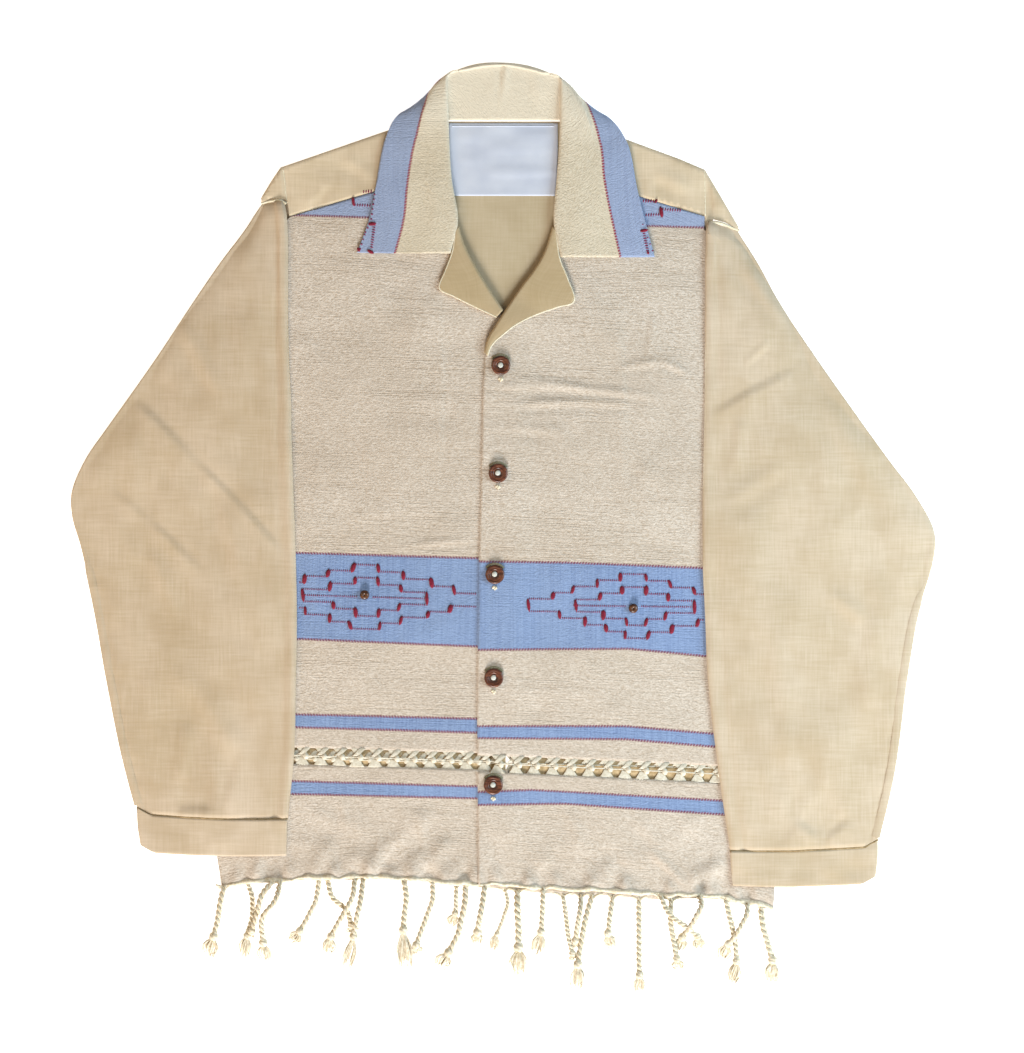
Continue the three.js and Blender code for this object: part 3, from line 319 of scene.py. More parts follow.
def streaks(tree, coordinates, across_mm, along_mm, detail, seed, low=0.0, high=1.0, to_low=0.0, to_high=1.0):
    """Noise across_mm wide and along_mm high, whose part from low to high runs from to_low to to_high."""
    mapping = add(tree, "ShaderNodeMapping", named={
        "Vector": coordinates, "Scale": (1 / (across_mm * MM), 1 / (along_mm * MM), 1 / (40 * MM)),
        "Location": (seed, seed * 1.7, seed * 0.3)})
    noise = add(tree, "ShaderNodeTexNoise", named={
        "Vector": mapping, "Scale": 1.0, "Detail": detail, "Roughness": 0.55})
    return add(tree, RANGE, noise, low, high, to_low, to_high)


def cloth_coordinates(tree):
    return add(tree, "ShaderNodeUVMap", uv_map="Cloth")


def object_coordinates(tree):
    return add(tree, "ShaderNodeTexCoord").outputs["Object"]


print("node helpers are ready")

# %% The striped blanket cotton
STRIPES = [(-250.0, -238.0), (-188.0, -176.0), (-107.0, -26.0), (288.0, 372.0)]
BORDER_MM = 1.5  # half the width of the red line on each edge of a stripe
TICK_MM = 2.7  # from one tick of the red line to the next
DYE_BLUR_MM, BORDER_BLUR_MM = 0.8, 0.7  # how far each colour creeps along the threads
# The thin colours are the threads in the hollows, painted in shade
NATURAL, SHADED_THIN_NATURAL = "#ded2c5", "#b19f8b"
BLUE, SHADED_THIN_BLUE, WORN_BLUE, FADED_BLUE = "#8a9fc4", "#6b7fa8", "#95a6c3", "#b2b5c5"
BORDER, COLLAR_BORDER = "#7c4458", "#8f2f42"
SEED_FLECK, PALE_TOWARDS_TOP = "#8a7557", "#f6ead6"
FADED_FROM, FADED_TO = 150, 240  # millimetres up the frame; from here on the blue is fainter
THREAD_LAYERS = {  # width, height, detail and seed of the noise, and its range before and after
    "ribs": (70.0, 1.05, 1.0, 9.0, 0.34, 0.5),
    "crepe": (1.7, 1.25, 2.0, 5.0, 0.3, 0.7),
    "bands": (160.0, 26.0, 2.0, 12.0, 0.42, 0.66, 0.12, 0.8),
    "warp": (1.5, 70.0, 1.0, 21.0, 0.35, 0.6),
    "worn": (110.0, 80.0, 1.0, 2.0, 0.35, 0.7, 0.0, 0.3),
    "fleck": (1.5, 1.3, 0.0, 17.0, 0.76, 0.82, 0.0, 0.4),
}


def from_stripes(tree, height, stripe_spans):
    """Metres from the nearest stripe's edge, below zero inside a stripe."""
    nearest = 1.0
    for low, high in stripe_spans:
        from_middle = add(tree, MATH, height, (low + high) / 2 * MM, operation="SUBTRACT")
        away = add(tree, MATH, from_middle, operation="ABSOLUTE")
        away = add(tree, MATH, away, (high - low) / 2 * MM, operation="SUBTRACT")
        nearest = add(tree, MATH, nearest, away, operation="MINIMUM")
    return nearest


def border_line(tree, nearest, height, across):
    """How much of the ticked red line shows at a stripe's edge."""
    edge = add(tree, MATH, nearest, operation="ABSOLUTE")
    edge = add(tree, MATH, edge, -1 / (BORDER_BLUR_MM * MM), BORDER_MM / BORDER_BLUR_MM,
               operation="MULTIPLY_ADD", use_clamp=True)
    slant = add(tree, MATH, height, 0.5, across, operation="MULTIPLY_ADD")
    turns = add(tree, MATH, slant, 2 * math.pi / (TICK_MM * MM), operation="MULTIPLY")
    ticks = add(tree, RANGE, add(tree, MATH, turns, operation="SINE"), -0.6, 0.6, 0.35, 1.0)
    return add(tree, MATH, edge, ticks, operation="MULTIPLY")


def blanket(name, stripe_spans, natural=NATURAL, thin=SHADED_THIN_NATURAL, rib=0.32, border=BORDER, pale_above=None):
    """Handwoven cotton: ribbed and streaked across, with painted shade in the hollows, flecked, with blue
    stripes between red lines.
    """
    material, tree, shader = new_material(name, 0.92, sheen=0.1)
    cloth = cloth_coordinates(tree)
    weft = streaks(tree, cloth, 1.8 + 9.4 * rib, 1.6, 3.0, 3.0, 0.32, 0.68)
    layer = {key: streaks(tree, cloth, *row) for key, row in THREAD_LAYERS.items()}

    # How thick the threads lie, from 0 in the hollows to 1; the hollows get the thin colours as painted shade
    hollow = add(tree, MATH, 1.0, layer["ribs"], operation="SUBTRACT")
    hollow = add(tree, MATH, hollow, layer["bands"], operation="MULTIPLY")
    light = add(tree, MATH, layer["crepe"], 0.65, operation="MULTIPLY")
    light = add(tree, MATH, weft, 0.45, light, operation="MULTIPLY_ADD")
    light = add(tree, MATH, hollow, -rib, light, operation="MULTIPLY_ADD", use_clamp=True)
    blue_light = add(tree, MATH, light, 0.7, operation="MULTIPLY")
    blue_light = add(tree, MATH, layer["warp"], 0.4, blue_light, operation="MULTIPLY_ADD", use_clamp=True)

    # Where the stripes are; their edges waver with the threads
    pattern = add(tree, SPLIT, add(tree, "ShaderNodeUVMap", uv_map="Pattern")).outputs["Y"]
    waver = add(tree, MATH, layer["crepe"], 0.5, operation="SUBTRACT")
    height = add(tree, MATH, waver, 0.5 * MM, pattern, operation="MULTIPLY_ADD")
    nearest = from_stripes(tree, height, stripe_spans)
    inside = add(tree, MATH, nearest, -1 / (DYE_BLUR_MM * MM), 0.5, operation="MULTIPLY_ADD", use_clamp=True)
    across = add(tree, SPLIT, cloth).outputs["X" if rib > 0.1 else "Y"]
    edge = border_line(tree, nearest, height, across)

    # The colours, each over the one before
    place = add(tree, SPLIT, object_coordinates(tree)).outputs["Y"]
    faded = add(tree, RANGE, place, FADED_FROM * MM, FADED_TO * MM, 0.0, 0.38)
    pale = 0.0
    if pale_above is not None:
        pale = add(tree, RANGE, place, (pale_above - 18) * MM, (pale_above + 14) * MM, 0.0, 0.45)
    plain, dyed = linear(thin), linear(SHADED_THIN_BLUE)
    shades = ((light, natural), (layer["worn"], thin), (layer["fleck"], SEED_FLECK), (pale, PALE_TOWARDS_TOP))
    for factor, shade in shades:
        plain = add(tree, MIX, factor, plain, linear(shade), data_type="RGBA")
    for factor, shade in ((blue_light, BLUE), (layer["worn"], WORN_BLUE), (faded, FADED_BLUE)):
        dyed = add(tree, MIX, factor, dyed, linear(shade), data_type="RGBA")
    colour = add(tree, MIX, inside, plain, dyed, data_type="RGBA")
    colour = add(tree, MIX, edge, colour, linear(border), data_type="RGBA")
    relief = add(tree, MATH, hollow, -0.5, light, operation="MULTIPLY_ADD")
    show(tree, shader, colour, relief, 0.65, 0.5)
    return material


# Matt and rough, with painted shade in the hollows between thick threads: it looks dry, heavy and handwoven.
blanket_front = blanket("handwoven_blanket_cotton", STRIPES)
blanket_back = blanket("handwoven_blanket_cotton_back", STRIPES[:3])
# The collar is pressed flat, so its ribs hardly show, and it is paler towards its top.
blanket_collar = blanket("handwoven_collar_cotton", [(0.0, 70.0)], natural="#ded1bc", thin="#c2b399",
                         rib=0.05, border=COLLAR_BORDER, pale_above=368 + SHIFT[1])
print("blanket cotton:", blanket_front.name, blanket_back.name, blanket_collar.name)

# %% Plain cotton, satin, wood and thread
PLAIN_THREAD_MM = 1.6
PAINTED_SHADE_PATCH, NECK_PAINTED_SHADE = "#b39c7c", "#9d8f70"
NECK_SHADE_HALF = (54, 66)  # millimetres from the middle, where the yoke's inner side ends


def plain_cotton(name, base, dark, coordinates_of, relief=0.3, shade_below=None):
    """Fine plain weave: faint threads both ways, slow changes of tone and soft patches of painted shade."""
    material, tree, shader = new_material(name, 0.85, sheen=0.1)
    coordinates = coordinates_of(tree)
    weft = streaks(tree, coordinates, 26.0, PLAIN_THREAD_MM, 2.0, 4.0)
    warp = streaks(tree, coordinates, PLAIN_THREAD_MM, 34.0, 2.0, 6.0)
    wide = streaks(tree, coordinates, 70.0, 110.0, 2.0, 8.0)
    threads = add(tree, MATH, weft, warp, operation="ADD")
    threads = add(tree, MATH, threads, 0.5, operation="MULTIPLY")
    tone = add(tree, MATH, wide, 0.4, operation="MULTIPLY")
    tone = add(tree, MATH, threads, 0.6, tone, operation="MULTIPLY_ADD")
    tone = add(tree, RANGE, tone, 0.36, 0.64)
    colour = add(tree, MIX, tone, linear(dark), linear(base), data_type="RGBA")
    # Painted shade: soft patches that stand in for the shading of broad, shallow folds
    painted_shade_patches = streaks(tree, coordinates, 34.0, 46.0, 2.0, 27.0, 0.45, 0.68, 0.0, 0.4)
    colour = add(tree, MIX, painted_shade_patches, colour, linear(PAINTED_SHADE_PATCH), data_type="RGBA")
    if shade_below is not None:
        # Painted shade: the yoke's inner side, lying low inside the neck, is darkened near the middle
        place = add(tree, SPLIT, object_coordinates(tree))
        from_middle = add(tree, MATH, place.outputs["X"], SHIFT[0] * MM, operation="SUBTRACT")
        from_middle = add(tree, MATH, from_middle, operation="ABSOLUTE")
        neck_shade = add(tree, RANGE, from_middle, *(limit * MM for limit in NECK_SHADE_HALF), 0.42, 0.0)
        fades = ((shade_below - 0.4) * MM, (shade_below + 0.4) * MM)
        lower = add(tree, RANGE, place.outputs["Z"], *fades, 1.0, 0.0)
        neck_shade = add(tree, MATH, neck_shade, lower, operation="MULTIPLY")
        colour = add(tree, MIX, neck_shade, colour, linear(NECK_PAINTED_SHADE), data_type="RGBA")
    show(tree, shader, colour, threads, relief, 0.5)
    return material


def one_tone(name, light, dark, roughness, scale_mm, sheen=0.0, bump_mm=0.0):
    """A finish that varies between two tones with noise of one size."""
    material, tree, shader = new_material(name, roughness, sheen)
    noise = add(tree, "ShaderNodeTexNoise", named={
        "Vector": object_coordinates(tree), "Scale": 1 / (scale_mm * MM), "Detail": 3.0})
    tone = add(tree, RANGE, noise, 0.35, 0.65)
    colour = add(tree, MIX, tone, linear(dark), linear(light), data_type="RGBA")
    show(tree, shader, colour, noise if bump_mm else None, 0.5, bump_mm)
    return material


def turned_wood(name, light, dark, ring_mm):
    """Turned and waxed wood: fine grain lines under a soft shine."""
    material, tree, shader = new_material(name, 0.32, gloss=WOOD_GLOSS)
    mapping = add(tree, "ShaderNodeMapping", named={
        "Vector": object_coordinates(tree), "Scale": (1 / (9 * MM), 1 / (ring_mm * MM), 1 / (3 * MM))})
    grain = add(tree, "ShaderNodeTexNoise", named={
        "Vector": mapping, "Scale": 1.0, "Detail": 4.0, "Distortion": 0.6})
    tone = add(tree, RANGE, grain, 0.35, 0.68)
    show(tree, shader, add(tree, MIX, tone, linear(dark), linear(light), data_type="RGBA"))
    return material


# Below this height the yoke's inner side gets painted shade near the middle
YOKE_SHADED_BELOW = 3.4  # millimetres; below this the yoke shows its inner side

# Matt and even, with soft patches of painted shade: washed plain cotton, calmer than the blanket beside it.
sleeve_cotton = plain_cotton("plain_sleeve_cotton", "#d0bda6", "#bca88b", object_coordinates)
yoke_cotton = plain_cotton("plain_yoke_cotton", "#ddcab0", "#c9b595", object_coordinates,
                           shade_below=YOKE_SHADED_BELOW)
facing_cotton = plain_cotton("plain_facing_cotton", "#c0ab8a", "#b29c78", cloth_coordinates, relief=0.15)
# Painted shade, with no sheen: a dark brown for the gap at the cuffs' seams, and a shaded khaki for the
# sheets behind the openwork.
seam_shade_cotton = one_tone("inner_side_cotton", "#a8906c", "#8a7350", 0.95, 3.0)
shaded_cotton = one_tone("blanket_cotton_behind_the_holes", "#c9b08a", "#ab9069", 0.95, 3.0)
# The one smooth cloth: satin gives a soft cool highlight.
label_satin = one_tone("white_label_satin", "#ced2de", "#c2c7d6", 0.42, 30.0, sheen=0.2)
# Wax gives the wood a soft shine over dark grain.
button_wood = turned_wood("waxed_button_wood", "#7d4a33", "#3a1b12", 1.4)
bead_wood = turned_wood("waxed_bead_wood", "#6d4226", "#2e1a10", 1.2)
# Thread is soft: a bright rim of loose fibre, fine changes of tone and no shine.
crimson_thread = one_tone("crimson_embroidery_cotton", "#8e1233", "#640920", 0.7, 1.5, sheen=0.2)
fine_red_thread = one_tone("fine_red_cotton", "#8d3a58", "#74294a", 0.75, 1.5)
white_thread = one_tone("white_sewing_cotton", "#d6d5cc", "#b9b8ae", 0.7, 1.2, sheen=0.2)
# Painted shade: the olive bar above each button stands for the buttonhole's shadow
buttonhole_shade_thread = one_tone("olive_buttonhole_thread", "#a39c83", "#857d63", 0.8, 1.5)
# Twisted and bare warp and rolled edges: rough, with a fine relief of fibres that breaks the light.
cord_cotton = one_tone("twisted_cord_cotton", "#eadfcb", "#cfc1a4", 0.9, 2.5, sheen=0.1, bump_mm=0.3)
openwork_cotton = one_tone("bare_warp_cotton", "#e2dac9", "#cdc2ad", 0.9, 2.0, sheen=0.1, bump_mm=0.2)
# Painted highlight: paler than the facing, for the lapels' rolled edges; it also gives the light lines at the
# sleeves' heads and the buttons' white thread
pale_cotton_and_lapel_highlight = one_tone("rolled_edge_cotton", "#e6dcc6", "#d4c6a8", 0.85, 2.0, sheen=0.1, bump_mm=0.2)
print("plain cotton, satin, wood and thread are ready")

# %% [markdown]
# ## The fronts
# Each front hangs from the yoke's seam, and its side edge lies under the sleeve. The left front
# laps over the right one, so its edge lies a layer higher. A front is a sheet with a slot for the
# openwork, and the cloth turns back along the roll line inside its facing.

# %% Outlines and heights of the body
BODY_LEFT = curve([(-360, -261), (-333, -262), (-305, -266.5), (0, -256), (98, -252.5), (155, -244),
                   (211, -231), (246, -222), (270, -214), (277, -212), (287, -199.5), (340, -199.5)])
BODY_RIGHT = curve([(-360, 250.5), (-333, 252), (-305, 253), (0, 252), (98, 251), (155, 241), (211, 228),
                    (246, 216), (266, 206), (270.5, 202.5), (275.5, 186.8), (340, 186.8)])
RIGHT_INNER = curve([(-360, 4.5), (188, 4.5), (205.4, -6.1), (213.7, -11.7), (226.3, -19.7), (236.7, -26.3),
                     (248.7, -32.9), (257.7, -37.2), (266.7, -40.7), (276.9, -43), (300, -50), (345, -56)])
LEFT_INNER = curve([(-360, -23), (-180, -24.5), (-31, -23), (29, -21), (81, -20), (133, -19), (157, -17.2),
                    (165, -15.8), (172, -13.2), (182.3, -7.4), (192.3, -1.6), (203.2, 5.4), (212.9, 12.5),
                    (224, 20.5), (234.3, 28), (245.5, 35.5), (256.6, 41.1), (266.5, 44.5), (276.9, 47),
                    (300, 50), (345, 56)])
HEM = curve([(-268, -336), (-237, -330), (-197, -327.5), (-115, -326), (-92, -327), (-39, -331.5), (4, -333),
             (38, -335.5), (98, -337.5), (144, -342), (176, -342.5), (205, -345), (227, -350), (254, -355)])
RIGHT_SEAM = curve([(-225, 288.2), (-199, 288.2), (-120, 311.7), (-55, 332.7)])
LEFT_SEAM = curve([(55, 328.2), (127, 306.7), (187, 288.7), (220, 288.7)])
WEARER = {-1: "right", 1: "left"}  # the side of x, and the side as the wearer calls it
BLANKET, FINE, SEAM = 1.5, 1.0, 0.3
FRONT_Z, LAYER, NECK_LIFT = 2.55, 1.8, 0.95


def neck_lift(x, y):
    return NECK_LIFT * (1 - ramp(np.abs(x), 70, 100)) * ramp(y, 168, 192) * (1 - ramp(y, 290, 322))


def front_height(side, x, y):
    """Middle of the front's wall where it lies smooth."""
    lap = 0 if side < 0 else LAYER * (1 - ramp(x, 8, 34)) * (1 - ramp(y, 196, 210))
    return FRONT_Z + neck_lift(x, y) + lap


# %% [markdown]
# ### Creases
# A crease that was folded in and never pressed out is a long low ridge with a trough beside it.
# The tables list where each starts and ends, how high it is and how wide.

# %% Creases of the body and of the sleeves
# A ridge stands up with a trough beside it; a fold is a sharp step between two gentle slopes.
CREASE_COLUMNS = ("kind", "x0", "y0", "x1", "y1", "height", "half")
FRONT_CREASES = [
    ("ridge", -12, 131, 145, 120, 1.2, 3.0), ("ridge", 8, 137, 80, 129, 0.9, 2.8),
    ("ridge", 2, 113, 130, 114, 1.1, 3.0), ("ridge", 106, 147, 148, 154, 1.0, 2.8),
    ("ridge", 146, 154, 171, 143, 0.9, 2.6), ("ridge", 139, 198, 135, 160, 0.5, 3.5),
    ("ridge", -22, 92, 60, 88, 0.5, 4.0), ("ridge", -104, -21, -24, -12, 0.9, 2.6),
    ("ridge", -150, 8, -96, 14, 0.3, 5.0), ("ridge", -150, -252, -147, -279, 0.6, 4.0),
    ("ridge", -78, -262, -75, -300, 0.6, 5.0), ("ridge", 60, -262, 72, -300, 0.5, 6.0),
    ("ridge", 118, -268, 150, -300, 0.5, 6.0), ("ridge", 130, 60, 134, -10, 0.3, 6.0),
    ("ridge", -130, 90, -122, 20, 0.3, 6.0), ("fold", -58, 240, -62, 20, 0.35, 2.5),
    ("fold", 108, 210, 112, 10, 0.35, 2.5), ("ridge", -110, -300, -60, -262, 0.8, 9.0),
    ("ridge", 150, -300, 196, -262, 0.6, 9.0), ("ridge", -186, -262, -120, -290, 0.5, 8.0),
    ("fold", -219, -321, -207, -321, 1.1, 4.0), ("fold", -116, -315, -98, -316, 1.3, 5.5),
    ("fold", -100, -314, -72, -295, 0.7, 5.0), ("fold", -76, -324, -65, -325, 1.1, 3.5),
    ("fold", -42, -326, -30, -327, 1.1, 3.5), ("fold", 8, -331, 19, -332, 1.1, 3.5),
    ("fold", 176, -336, 190, -338, 1.3, 4.5), ("fold", 218, -345, 230, -347, 1.2, 3.5),
    ("ridge", 172, -334, 206, -308, 1.5, 7.0), ("ridge", 134, -299, 173, -336, 0.9, 4.0),
    ("ridge", -129, -324, -99, -286, 1.5, 8.0), ("ridge", -74, -322, -50, -288, 1.2, 8.0),
    ("ridge", -178, -326, -158, -286, 1.2, 8.0), ("ridge", 20, -336, 44, -300, 1.0, 8.0),
    ("ridge", 92, -338, 100, -305, 1.2, 7.0), ("ridge", -236, -330, -222, -300, 1.0, 6.0),
]
SLEEVE_CREASES = [
    ("fold", -346, 122, -284, 60, 0.55, 3.2), ("fold", -292, 68, -201, -28, 0.6, 1.6),
    ("fold", -368, 37, -326, 5, 0.3, 3.0), ("fold", -330, 8, -279, -42, 0.5, 1.8),
    ("ridge", -300, 190, -262, 120, 0.5, 7.0), ("ridge", -262, 30, -240, -60, 0.4, 8.0),
    ("ridge", -330, -20, -300, -90, 0.6, 9.0), ("ridge", -300, -130, -240, -220, 0.5, 10.0),
    ("fold", 190, 103, 276, 149, 0.6, 2.0), ("ridge", 224, 150, 248, 172, 0.7, 1.8),
    ("ridge", 206, 20, 262, 60, 0.4, 8.0), ("ridge", 220, 100, 214, 50, 0.5, 6.0),
    ("ridge", 300, 120, 350, 20, 0.4, 9.0), ("ridge", 352, -40, 330, -190, 0.4, 9.0),
    ("ridge", 250, -80, 262, -220, 0.4, 10.0), ("ridge", 220, 246, 262, 190, 0.4, 6.0),
    ("ridge", 300, -60, 340, -90, 0.5, 7.0), ("fold", -303, -256, -268, -258, 0.8, 5.0),
    ("fold", 272, -268, 293, -284, 0.7, 4.0), ("fold", 297, -285, 323, -266, 0.6, 4.0),
    ("ridge", -300, -236, -290, -180, 0.5, 8.0), ("fold", -262, -262, -240, -200, 0.4, 5.0),
    ("fold", 238, 20, 232, -60, 0.3, 9.0), ("fold", -226, 210, -218, 130, 0.4, 9.0),
]
YOKE_CREASES = [
    ("fold", -158, 322, -188, 292, 0.4, 3.0), ("fold", -207, 336, -203, 302, 0.5, 2.4),
    ("ridge", -150, 345, -120, 325, 0.4, 6.0), ("fold", 190, 322, 196, 290, -0.5, 2.4),
    ("ridge", 140, 330, 176, 312, 0.5, 6.0), ("ridge", -20, 300, 10, 262, 0.5, 7.0),
    ("ridge", 30, 290, 22, 250, 0.4, 6.0),
]
COLLAR_CREASES = [
    ("ridge", 2.5, 436, -4.5, 376, 1.6, 2.4), ("ridge", -66, 330, -62, 262, 0.4, 8.0),
    ("ridge", 70, 330, 66, 270, 0.4, 8.0), ("ridge", 28, 425, 34, 380, 0.5, 5.0),
]


def crease_height(x, y, creases):
    """Sum of the creases' heights at these places."""
    total = np.zeros_like(x)
    for row in creases:
        c = dict(zip(CREASE_COLUMNS, row))
        run = np.array([c["x1"] - c["x0"], c["y1"] - c["y0"]], float)
        length = np.hypot(*run)
        along = ((x - c["x0"]) * run[0] + (y - c["y0"]) * run[1]) / length**2
        beside = ((x - c["x0"]) * run[1] - (y - c["y0"]) * run[0]) / length
        beside = beside + 0.02 * length * np.sin(3.0 * np.clip(along, 0, 1))
        fade = ramp(along, -0.05, 0.25) * (1 - ramp(along, 0.7, 1.05))
        s = beside / c["half"]
        if c["kind"] == "ridge":
            total += c["height"] * fade * (np.exp(-s * s) - 0.55 * np.exp(-(s - 1.7)**2))
        else:
            total += c["height"] * fade * np.tanh(1.6 * s) * np.exp(-np.abs(s) / 6)
    return total


HEM_DIMPLES = (-259, -238, -210, -168, -134, -93, -66, -35, -17, 13, 37, 72, 102, 145, 182, 206, 227, 239)


def pressed(height, limit):
    """Keeps hollows shallower than a limit, because the layer below holds them up."""
    return np.where(height > 0, height, limit * np.tanh(height / limit))


def hem_gathers(x, y):
    """Dimples above the cords' roots, with the cloth standing up between them."""
    above = y - HEM(x)
    total = np.zeros_like(x)
    for place in HEM_DIMPLES:
        total -= 0.6 * np.exp(-((x - place) / 5.5)**2 - ((above - 9) / 7)**2)
        total += 2.3 * np.exp(-((x - place - 10) / 6)**2 - ((above - 7) / 9)**2)
    return total + 1.2 * soft_noise(x * 0.6, y, 14, 15) * np.exp(-(above / 40)**2)


def front_relief(side, x, y):
    """Creases, slow waves and the pulled-in cloth above the hem and along the openwork."""
    waves = 0.75 * soft_noise(x, y, 46, 11) + 0.4 * soft_noise(x, y, 17, 12) + 0.12 * soft_noise(x, y, 7, 13)
    flat = ramp(y, 270, 300) if side < 0 else ramp(y, 262, 290)
    return (waves + 1.3 * crease_height(x, y, FRONT_CREASES)) * (1 - 0.6 * flat) + hem_gathers(x, y)


print(len(FRONT_CREASES), "creases on the fronts and", len(SLEEVE_CREASES), "on the sleeves")

# %% The stripes' lines across each front
STRIPE_LINES = {
    -1: [(-250, [(-196, -248), (-24, -252)]), (-238, [(-195, -236), (-26, -241)]),
         (-214, [(-192, -212), (-26, -217)]), (-188, [(-192, -186), (-26, -191)]),
         (-176, [(-191, -174), (-26, -178)]), (-107, [(-189, -104), (-24, -111)]),
         (-26, [(-190, -24), (-22, -29)]), (100, [(-190, 100), (-22, 99)]),
         (288, [(-199, 290), (-126, 287.5)]), (372, [(-199, 372), (-126, 370)])],
    1: [(-250, [(-23, -258), (57, -257), (202, -267)]), (-238, [(-24, -246), (25, -244), (201, -254)]),
        (-214, [(-22, -220), (196, -230)]), (-188, [(-24, -196), (113, -197), (195, -204)]),
        (-176, [(-24, -185), (113, -185), (195, -192)]), (-107, [(-24, -114), (117, -113), (188, -120)]),
        (-26, [(-22, -32), (58, -33), (183, -38)]), (100, [(-22, 98), (183, 95)]),
        (288, [(126, 280), (190, 278)]), (372, [(126, 362), (190, 360)])],
}


def straight_height(side, x, y):
    """How high a place is on the cloth, as woven: each stripe's edge keeps one value."""
    values = np.array([value for value, _ in STRIPE_LINES[side]], float)
    lines = np.stack([curve(points)(x) for _, points in STRIPE_LINES[side]])
    height = values[0] + (y - lines[0])
    for k in range(1, len(values)):
        part = values[k - 1] + (y - lines[k - 1]) / (lines[k] - lines[k - 1]) * (values[k] - values[k - 1])
        height = np.where(y > lines[k - 1], part, height)
    return np.where(y > lines[-1], values[-1] + (y - lines[-1]), height)


SLOT_HALF = 7.6  # millimetres from the openwork's middle thread to the cloth's edge
MIDDLE_THREAD = {
    -1: curve([(-268, -210.0), (-192, -212.5), (-26, -217.5), (6, -218.4)]),
    1: curve([(-24, -219.5), (60, -223.0), (196, -229.5), (254, -232.2)]),
}


def band_grid(edges, lines, counts, columns):
    """Rows between lines that cross a panel, each from one side edge to the other."""
    rows = []
    for k, count in enumerate(counts):
        last = k == len(counts) - 1
        for t in np.linspace(0, 1, count + 1)[:None if last else -1]:
            def line(x, low=lines[k], high=lines[k + 1], t=t):
                return low(x) * (1 - t) + high(x) * t
            ends = []
            for edge, x in edges:
                for _ in range(6):
                    x = float(edge(line(x)))
                ends.append(x)
            xs = np.linspace(*ends, columns)
            rows.append(np.stack([xs, line(xs)], -1))
    return np.array(rows)


def level(y):
    return lambda x: np.full_like(np.asarray(x, float), y)


def shifted(line, by):
    return lambda x: line(x) + by


def raised(flat, z):
    """A grid of x, y with its heights."""
    return np.concatenate([flat, z[..., None]], axis=2)


def blanket_shell(grid, straight):
    """A wall of blanket cloth whose stripes follow the height as woven."""
    return cloth_shell(grid, BLANKET, along=np.stack([grid[..., 0], straight], -1))


def front_grids(side):
    thread = MIDDLE_THREAD[side]

    def scalloped(x):
        return HEM(x) + 0.9 * soft_noise(x, 0 * x, 9, 16) - 0.3

    if side < 0:
        seam, edges = RIGHT_SEAM, ((BODY_LEFT, -200.0), (RIGHT_INNER, 0.0))
    else:
        seam, edges = LEFT_SEAM, ((BODY_RIGHT, 200.0), (LEFT_INNER, 0.0))
    below = band_grid(edges, [scalloped, shifted(thread, -SLOT_HALF)], [40], 120)
    lines = [shifted(thread, SLOT_HALF), level(140), level(268), seam]
    above = band_grid(edges, lines, [116, 42, 16], 120)
    grids = []
    for flat in (below, above):
        x, y = flat[..., 0], flat[..., 1]
        z = front_height(side, x, y) + pressed(front_relief(side, x, y), 0.6)
        grids.append(raised(flat, z))
    return grids


# %% [markdown]
# ### Lapels
# At the open neck the front and its facing turn back together along the roll line. The facing is
# on the outside of the fold, so it shows; the front's own turn lies inside it.

# %% Lapels, a row for each place along the roll line
LAPELS = {
    -1: [(-41.5, 279.5, -44.4, 274.5, 8, -90), (-38, 268, -45.3, 264, 18, -90),
         (-34.5, 259, -48, 252.5, 18, -90), (-30, 250, -53.5, 238, 18, -90),
         (-24, 239, -59, 222, 18, -90), (-17, 227.5, -46, 214.5, 14, -90), (-9, 215, -28, 205.5, 6, -90),
         (-4, 207.5, -13, 198.5, 1, -90), (0, 201.8, -6, 195.2, 1, -90)],
    1: [(45.5, 279.5, 48.4, 274.5, 8, -90), (42, 268, 49.5, 263, 18, -90),
        (38.5, 258, 52, 248.5, 18, -90), (33, 247, 59, 231, 18, -90), (26, 236.5, 65, 210, 18, -90),
        (18, 226, 50, 204.5, 14, -90), (10, 214.5, 34, 199, 1, -90), (3, 204, 18, 192, 0, -50),
        (-3, 194.8, 7, 185.2, 0, -10), (-8.5, 186, -1.5, 178.2, 0, 0), (-13.2, 179, -7.6, 173.2, 0, 0),
        (-16.3, 171, -12.2, 167.2, 0, 0), (-18.2, 162, -15.2, 159.5, 0, 0)],
}
LAPEL_WALL = BLANKET - 0.4  # pressed along the fold
LAPEL_SHOWS = 1.0  # the blanket cloth shows this far beyond the facing
LAPEL_COLUMNS = ("roll_x", "roll_y", "edge_x", "edge_y", "under", "start")
ROLL_ROOM = 3.0  # from the roll line to the edge of the front's flat part
FACING_RADIUS = LAYER / 2 + BLANKET / 2 + SEAM + FINE / 2


def lapel_grid(side, radius, reach, facing):
    """Sections round the roll line and out to the lapel's edge."""
    sections = []
    for row in LAPELS[side]:
        lapel = dict(zip(LAPEL_COLUMNS, row))
        roll = np.array([lapel["roll_x"], lapel["roll_y"]], float)
        out = np.array([lapel["edge_x"], lapel["edge_y"]], float) - roll
        width = np.hypot(*out) + reach
        out = out / np.hypot(*out)
        place = roll + out * ROLL_ROOM
        centre = float(front_height(side, place[0], place[1])) + LAYER / 2
        start = lapel["start"] if facing else -90
        angles = np.radians(np.linspace(start, 90, 7))
        us = list(ROLL_ROOM - radius * np.cos(angles))
        zs = list(centre + radius * np.sin(angles))
        if start == -90:
            us.insert(0, ROLL_ROOM + (max(lapel["under"], 0.8) if facing else 1.0))
            zs.insert(0, centre - radius)
        else:
            us.insert(0, us[0] - 0.25 * (us[1] - us[0]))
            zs.insert(0, zs[0] - 0.25 * (zs[1] - zs[0]))
        us += [(ROLL_ROOM + width) / 2, width]
        zs += [centre + radius + 0.3, centre + radius - 0.05]
        sections.append([[*(roll + out * u), z] for u, z in zip(us, zs)])
    return np.array(sections)


